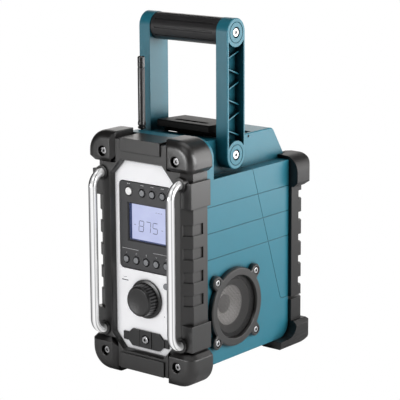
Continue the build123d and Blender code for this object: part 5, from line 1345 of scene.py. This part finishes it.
@dataclass
class Print:
    """Flat printed marks on a forward-facing surface, gathered into one thin piece."""

    depth: float
    lift: float = 0.04
    verts: list[Vector] = field(default_factory=list)
    faces: list[list[int]] = field(default_factory=list)

    def outline(self, points: Outline) -> None:
        """Add one convex mark from its corners as x and z."""
        start = len(self.verts)
        self.verts += [at(x, self.depth - self.lift, z) for x, z in points]
        self.faces.append(list(range(start, start + len(points))))

    def bar(self, x: float, z: float, width: float, height: float) -> None:
        """Add a rectangular mark by its middle and its size."""
        self.outline(rectangle(x - width / 2, x + width / 2, z - height / 2, z + height / 2))

    def dot(self, x: float, z: float, radius: float) -> None:
        """Add a round dot."""
        self.outline(circle((x, z), radius, 12))

    def digit(
        self, value: int, corner: Span, size: Span, stroke: float, slant: float = 0.08
    ) -> None:
        """Add a seven-segment digit.

        Args:
            value: The digit from 0 to 9.
            corner: Its lower left corner as x and z, in millimetres.
            size: Its width and height.
            stroke: Width of a segment.
            slant: Rightward lean per unit of height.
        """
        width, height = size
        half = height / 2
        ends = {
            "a": ((0, height), (width, height)),
            "b": ((width, height), (width, half)),
            "c": ((width, half), (width, 0)),
            "d": ((0, 0), (width, 0)),
            "e": ((0, half), (0, 0)),
            "f": ((0, height), (0, half)),
            "g": ((0, half), (width, half)),
        }
        for name in DIGIT_SEGMENTS[value]:
            start, stop = (Vector(end) for end in ends[name])
            along = (stop - start).normalized()
            across = Vector((-along.y, along.x)) * stroke / 2
            gap = stroke * 0.32
            first, last = start + along * gap, stop - along * gap
            point = along * stroke / 2
            shape = [
                first,
                first + point + across,
                last - point + across,
                last,
                last - point - across,
                first + point - across,
            ]
            self.outline([(corner[0] + q.x + q.y * slant, corner[1] + q.y) for q in shape])

    def piece(self, shop: Shop, name: str, material: str) -> bpy.types.Object:
        """Turn the marks into a piece on the case."""
        return shop.own(name, self.verts, self.faces, material, "case")


@dataclass
class Housing:
    """The coloured housing, its guards and bumpers."""

    shop: Shop

    def dress(self) -> None:
        """Paint the housing, the door, the front guard, the guard bars, the screws and the latch pin."""
        shop = self.shop
        shop.paint("teal", "main_housing", "battery_door")
        shop.paint("guard_plastic", "front_guard")
        shop.paint("steel", "guard_screws", "door_screws", "door_hinge_pin")
        shop.paint("steel_dark", "latch_pin")
        shop.paint("chrome", "guard_bar_left", "guard_bar_right")

    def build(self) -> None:
        """Build the bumpers, the rear guards and the deck."""
        for side in Side:
            FrontBumper(
                self.shop, "top", side, outer=298.0, inner=260.5,
                corner_r=26.0, edge_r=11.0, notch=8.0, screw_z=273.7,
            ).build()
            FrontBumper(
                self.shop, "bottom", side, outer=0.0, inner=43.0,
                corner_r=27.0, edge_r=13.0, notch=11.0, screw_z=25.9,
            ).build()
        RearGuard(self.shop).build()
        Deck(self.shop).build()
        LatchLever(self.shop).build()


@dataclass
class ControlPanel:
    """The pale panel with its keypad, knob, display and socket cover."""

    shop: Shop
    panel_depth: float = 12.6
    keypad_depth: float = 13.1
    preset_z: float = 142.5
    preset_pitch: float = 15.6
    presets: int = 5
    number_size: Span = (1.1, 2.1)
    number_stroke: float = 0.32
    number_rise: float = 7.2
    number_shift: float = -0.5
    rules: tuple[Span, ...] = ((-37.5, -12.0), (11.0, 37.5))
    rule_z: float = 155.6
    rule_height: float = 0.35
    top_marks: tuple[float, ...] = (-26.1, -5.2, 10.2, 26.1)
    top_mark_z: float = 235.6
    top_mark_height: float = 0.6
    top_mark_parts: tuple[Span, ...] = ((-1.4, 1.7), (1.2, 1.9))
    panel_marks: tuple[tuple[float, float, float, float], ...] = (
        (-33.4, 120.0, 6.5, 0.45),
        (-33.4, 116.2, 10.5, 1.1),
    )
    pinhole: Span = (28.3, 80.2)
    pinhole_r: float = 0.7

    def dress(self) -> None:
        """Paint the panel's CAD pieces."""
        shop = self.shop
        shop.paint("panel_silver", "control_panel")
        shop.paint("keypad_grey", "keypad_frame")
        shop.paint("circuit_board", "control_board")
        shop.paint("black_plastic", "aux_socket", "dc_socket")
        shop.paint("black_plastic", "socket_cover", "socket_flap_left", "socket_flap_right")
        shop.paint("steel", "knob_encoder")
        shop.paint("knob_black", "tuning_knob")
        shop.paint("button_white", "power_button")
        greys = [f"preset_button_{n + 1}" for n in range(self.presets)]
        shop.paint("button_grey", "band_button", "sleep_button", "tone_button", "mode_button", *greys)

    def build(self) -> None:
        """Build the printed marks of the keypad and the panel."""
        white = Print(self.keypad_depth)
        for n in range(self.presets):
            x = self.preset_pitch * (n - (self.presets - 1) / 2) + self.number_shift
            corner = (x, self.preset_z + self.number_rise)
            white.digit(n + 1, corner, self.number_size, self.number_stroke, slant=0.0)
        for low, high in self.rules:
            white.bar((low + high) / 2, self.rule_z, high - low, self.rule_height)
        for x in self.top_marks:
            for shift, width in self.top_mark_parts:
                white.bar(x + shift, self.top_mark_z, width, self.top_mark_height)
        white.piece(self.shop, "keypad_print", "print_white")
        dark = Print(self.panel_depth)
        for mark in self.panel_marks:
            dark.bar(*mark)
        dark.dot(*self.pinhole, self.pinhole_r)
        dark.piece(self.shop, "panel_print", "print_dark")


@dataclass
class Display:
    """The backlit display behind its window."""

    shop: Shop
    depth: float = 16.05
    lift: float = 0.02
    left: float = -27.0
    right: float = 29.0
    low: float = 167.2
    high: float = 211.3
    side_margin: float = 3.0
    low_margin: float = 1.0
    reading: tuple[int, ...] = (8, 7, 5)
    first_digit: Span = (-13.6, 178.6)
    digit_size: Span = (7.2, 13.0)
    digit_stroke: float = 0.75
    digit_pitch: float = 10.8
    point: Span = (10.2, 178.8)
    point_size: float = 0.9
    dashes: tuple[Span, ...] = ((-19.5, 186.0), (23.0, 184.0))
    dash_size: Span = (2.4, 0.6)
    level_marks: tuple[Span, ...] = ((14.0, 204.5), (18.0, 204.5), (22.0, 204.5))
    level_size: Span = (2.2, 0.5)

    def dress(self) -> None:
        """Paint the window and the module."""
        self.shop.paint("display_clear", "display_window")
        self.shop.paint("display_blue", "display_module")

    def build(self) -> None:
        """Build the dark blue margins and the digits."""
        edge = Print(self.depth, self.lift)
        across, rise = self.right - self.left, self.high - self.low
        edge.bar(self.left + self.side_margin / 2, self.low + rise / 2, self.side_margin, rise)
        edge.bar(self.left + across / 2, self.low + self.low_margin / 2, across, self.low_margin)
        edge.piece(self.shop, "display_margin", "display_edge")
        digits = Print(self.depth, self.lift)
        x, z = self.first_digit
        for n, value in enumerate(self.reading):
            corner = (x + n * self.digit_pitch, z)
            digits.digit(value, corner, self.digit_size, self.digit_stroke)
        digits.bar(*self.point, self.point_size, self.point_size)
        for place in self.dashes:
            digits.bar(*place, *self.dash_size)
        for place in self.level_marks:
            digits.bar(*place, *self.level_size)
        digits.piece(self.shop, "display_digits", "display_digit")


@dataclass
class Loudspeaker:
    """One loudspeaker: ring guard, fine mesh, cone and basket."""

    shop: Shop
    side: Side
    centre_depth: float = 94.2
    centre_z: float = 82.6
    mesh_radius: float = 39.6
    rim_x: float = 70.4
    dome: float = 1.2
    rings: int = 5
    sides: int = 64

    def dress(self) -> None:
        """Paint the CAD pieces of this loudspeaker."""
        label = self.side.label
        self.shop.paint("guard_plastic", f"speaker_guard_{label}")
        self.shop.paint("driver_black", f"speaker_driver_{label}")
        self.shop.paint("cone_grey", f"speaker_cone_{label}")

    def mesh_point(self, share: float, turn: float) -> Vector:
        """Place a point of the domed mesh.

        Args:
            share: Its distance from the middle as a share of the radius.
            turn: Its angle round the middle, in radians.

        Returns:
            The point in the row frame, in metres.
        """
        out = self.rim_x + self.dome * (1 - share * share)
        radius = self.mesh_radius * share
        depth = self.centre_depth + radius * math.cos(turn)
        return at(self.side.value * out, depth, self.centre_z + radius * math.sin(turn))

    def build(self) -> None:
        """Build the fine mesh that shows in place of the plain perforated sheet."""
        sides = self.sides
        verts = [self.mesh_point(0.0, 0.0)]
        for ring in range(1, self.rings + 1):
            share = ring / self.rings
            verts += [self.mesh_point(share, 2 * math.pi * n / sides) for n in range(sides)]
        faces = [[0, 1 + n, 1 + (n + 1) % sides] for n in range(sides)]
        for ring in range(1, self.rings):
            inner, outer = 1 + (ring - 1) * sides, 1 + ring * sides
            for n in range(sides):
                m = (n + 1) % sides
                faces.append([inner + n, outer + n, outer + m, inner + m])
        name = f"speaker_mesh_{self.side.label}"
        piece = self.shop.own(name, verts, faces, "grille_black", "case")
        for face in piece.data.polygons:
            face.use_smooth = True
        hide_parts(f"speaker_grille_{self.side.label}")


@dataclass
class Handle:
    """The folding handle with its bolts and grip."""

    shop: Shop

    def dress(self) -> None:
        """Paint the arms, the grip and the bolts."""
        self.shop.paint("teal", "handle_arm_left", "handle_arm_right")
        self.shop.paint("grip_rubber", "handle_grip")
        self.shop.paint("steel", "grip_core", "handle_screws", "pivot_bolts")


@dataclass
class Antenna:
    """The short rubber antenna with its glossy tip."""

    shop: Shop
    tip_z: float = 366.8

    def dress(self) -> None:
        """Paint the boot and the whip."""
        self.shop.paint("bumper_rubber", "antenna_base")
        self.shop.paint_tip("antenna_whip", "antenna_black", "antenna_tip", self.tip_z)


@dataclass
class Inside:
    """What shows only with the door open or through the seams, and the speakers' screws."""

    shop: Shop

    def dress(self) -> None:
        """Paint the battery, its terminal, the main board and the speakers' screws."""
        self.shop.paint("black_plastic", "battery_pack", "battery_terminal")
        self.shop.paint("circuit_board", "main_board")
        self.shop.paint("steel", "speaker_screws")


@dataclass(frozen=True)
class Softbox:
    """One rectangular studio light."""

    name: str
    place: Point
    aim: Point
    width: float
    height: float
    power: float
    colour: Colour = WHITE

    def build(self) -> None:
        """Place the light and aim it."""
        lamp = bpy.data.lights.new(self.name, "AREA")
        lamp.shape = "RECTANGLE"
        lamp.size, lamp.size_y = self.width, self.height
        lamp.energy = self.power
        lamp.color = self.colour
        holder = bpy.data.objects.new(self.name, lamp)
        bpy.context.scene.collection.objects.link(holder)
        holder.location = self.place
        aim = Vector(self.aim) - Vector(self.place)
        holder.rotation_euler = aim.to_track_quat("-Z", "Y").to_euler()
        holder.visible_camera = False


@dataclass
class Studio:
    """Floor, backdrop colour, lights and camera."""

    azimuth: float = 38.79
    elevation: float = 12.45
    roll: float = -0.26
    distance: float = 2.1475
    target: Point = (0.0, 0.018925, 0.2130)
    lens: float = 156.75
    shift: Span = (-0.0169, -0.0294)
    sensor: float = 36.0
    surround: float = 0.03
    surround_colour: Colour = (0.96, 0.98, 1.0)
    floor_reach: float = 6.0
    floor_drop: float = 0.0002
    floor_grain: float = 9.0
    floor_colours: tuple[Colour, Colour] = ((0.78, 0.78, 0.79), (0.82, 0.82, 0.82))
    middle: Point = (0.0, 0.0, 0.2)

    def floor(self) -> None:
        """Build a pale floor that the camera sees as plain white."""
        mesh = bpy.data.meshes.new("floor")
        reach = self.floor_reach
        corners = [(-reach, -reach, 0), (reach, -reach, 0), (reach, reach, 0), (-reach, reach, 0)]
        mesh.from_pydata(corners, [], [[0, 1, 2, 3]])
        plate = bpy.data.objects.new("floor", mesh)
        plate.location.z = -self.floor_drop
        bpy.context.scene.collection.objects.link(plate)
        n = Nodes("floor_paint")
        grain = n.noise(self.floor_grain, 3.0)
        colour = n.mix(n.spread(grain.outputs["Fac"], 0.0, 1.0), *self.floor_colours)
        body = n.add("BsdfDiffuse", Color=colour)
        white = n.add("Emission", Color=WHITE, Strength=1.0)
        seen = n.add("LightPath").outputs["Is Camera Ray"]
        mesh.materials.append(n.done(n.blend(seen, body, white)))

    def world(self) -> None:
        """Build the surround: white to the camera and soft grey for the light."""
        world = bpy.data.worlds.new("studio")
        bpy.context.scene.world = world
        world.use_nodes = True
        tree = world.node_tree
        tree.nodes.clear()
        out = tree.nodes.new("ShaderNodeOutputWorld")
        path = tree.nodes.new("ShaderNodeLightPath")
        white = tree.nodes.new("ShaderNodeBackground")
        white.inputs["Color"].default_value = (*WHITE, 1.0)
        white.inputs["Strength"].default_value = 1.0
        soft = tree.nodes.new("ShaderNodeBackground")
        soft.inputs["Color"].default_value = (*self.surround_colour, 1.0)
        soft.inputs["Strength"].default_value = self.surround
        mix = tree.nodes.new("ShaderNodeMixShader")
        tree.links.new(path.outputs["Is Camera Ray"], mix.inputs[0])
        tree.links.new(soft.outputs[0], mix.inputs[1])
        tree.links.new(white.outputs[0], mix.inputs[2])
        tree.links.new(mix.outputs[0], out.inputs["Surface"])

    def lights(self) -> None:
        """Build the softboxes."""
        middle = self.middle
        boxes = [
            Softbox("back_right", (1.7, 2.0, 0.9), middle, 2.2, 1.8, 36.0, (1.0, 0.985, 0.975)),
            Softbox("back_left", (-1.6, 2.2, 0.8), middle, 2.2, 1.6, 18.0, (1.0, 0.98, 0.96)),
            Softbox("right", (2.4, 0.3, 0.8), middle, 1.4, 1.6, 54.0),
            Softbox("front_low", (-0.75, -2.4, 0.4), middle, 1.2, 0.7, 28.0),
            Softbox("glow_back", (1.35, 1.65, 0.02), (1.35, 1.65, 1.0), 1.7, 1.7, 30.0),
            Softbox("front_high", (0.3, -1.8, 2.0), middle, 1.2, 1.0, 7.0),
            Softbox("top", (0.0, 0.2, 2.4), middle, 1.6, 1.6, 10.0),
        ]
        for box in boxes:
            box.build()
            log.info("placed light %s", box.name)

    def camera(self) -> None:
        """Place the camera."""
        data = bpy.data.cameras.new("camera")
        data.sensor_width = self.sensor
        data.lens = self.lens
        data.shift_x, data.shift_y = self.shift
        data.clip_start, data.clip_end = 0.05, 30.0
        holder = bpy.data.objects.new("camera", data)
        bpy.context.scene.collection.objects.link(holder)
        a, e = math.radians(self.azimuth), math.radians(self.elevation)
        back = Vector((math.sin(a) * math.cos(e), -math.cos(a) * math.cos(e), math.sin(e)))
        holder.location = Vector(self.target) + back * self.distance
        look = (-back).to_track_quat("-Z", "Y").to_matrix()
        turned = look @ Matrix.Rotation(math.radians(self.roll), 3, "Z")
        holder.rotation_mode = "QUATERNION"
        holder.rotation_quaternion = turned.to_quaternion()
        bpy.context.scene.camera = holder

    def build(self) -> None:
        """Build the whole studio."""
        self.floor()
        self.world()
        self.lights()
        self.camera()
        bpy.context.scene.view_settings.view_transform = "Standard"


def main() -> None:
    """Load the frame, dress every sub-assembly and build the studio."""
    logging.basicConfig(level=logging.INFO, format="%(message)s")
    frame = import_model()
    palette = Palette()
    palette.build()
    shop = Shop(frame, palette)
    housing = Housing(shop)
    housing.dress()
    housing.build()
    panel = ControlPanel(shop)
    panel.dress()
    panel.build()
    display = Display(shop)
    display.dress()
    display.build()
    for side in Side:
        speaker = Loudspeaker(shop, side)
        speaker.dress()
        speaker.build()
    Handle(shop).dress()
    Antenna(shop).dress()
    Inside(shop).dress()
    Studio().build()


if __name__ == "__main__":
    main()
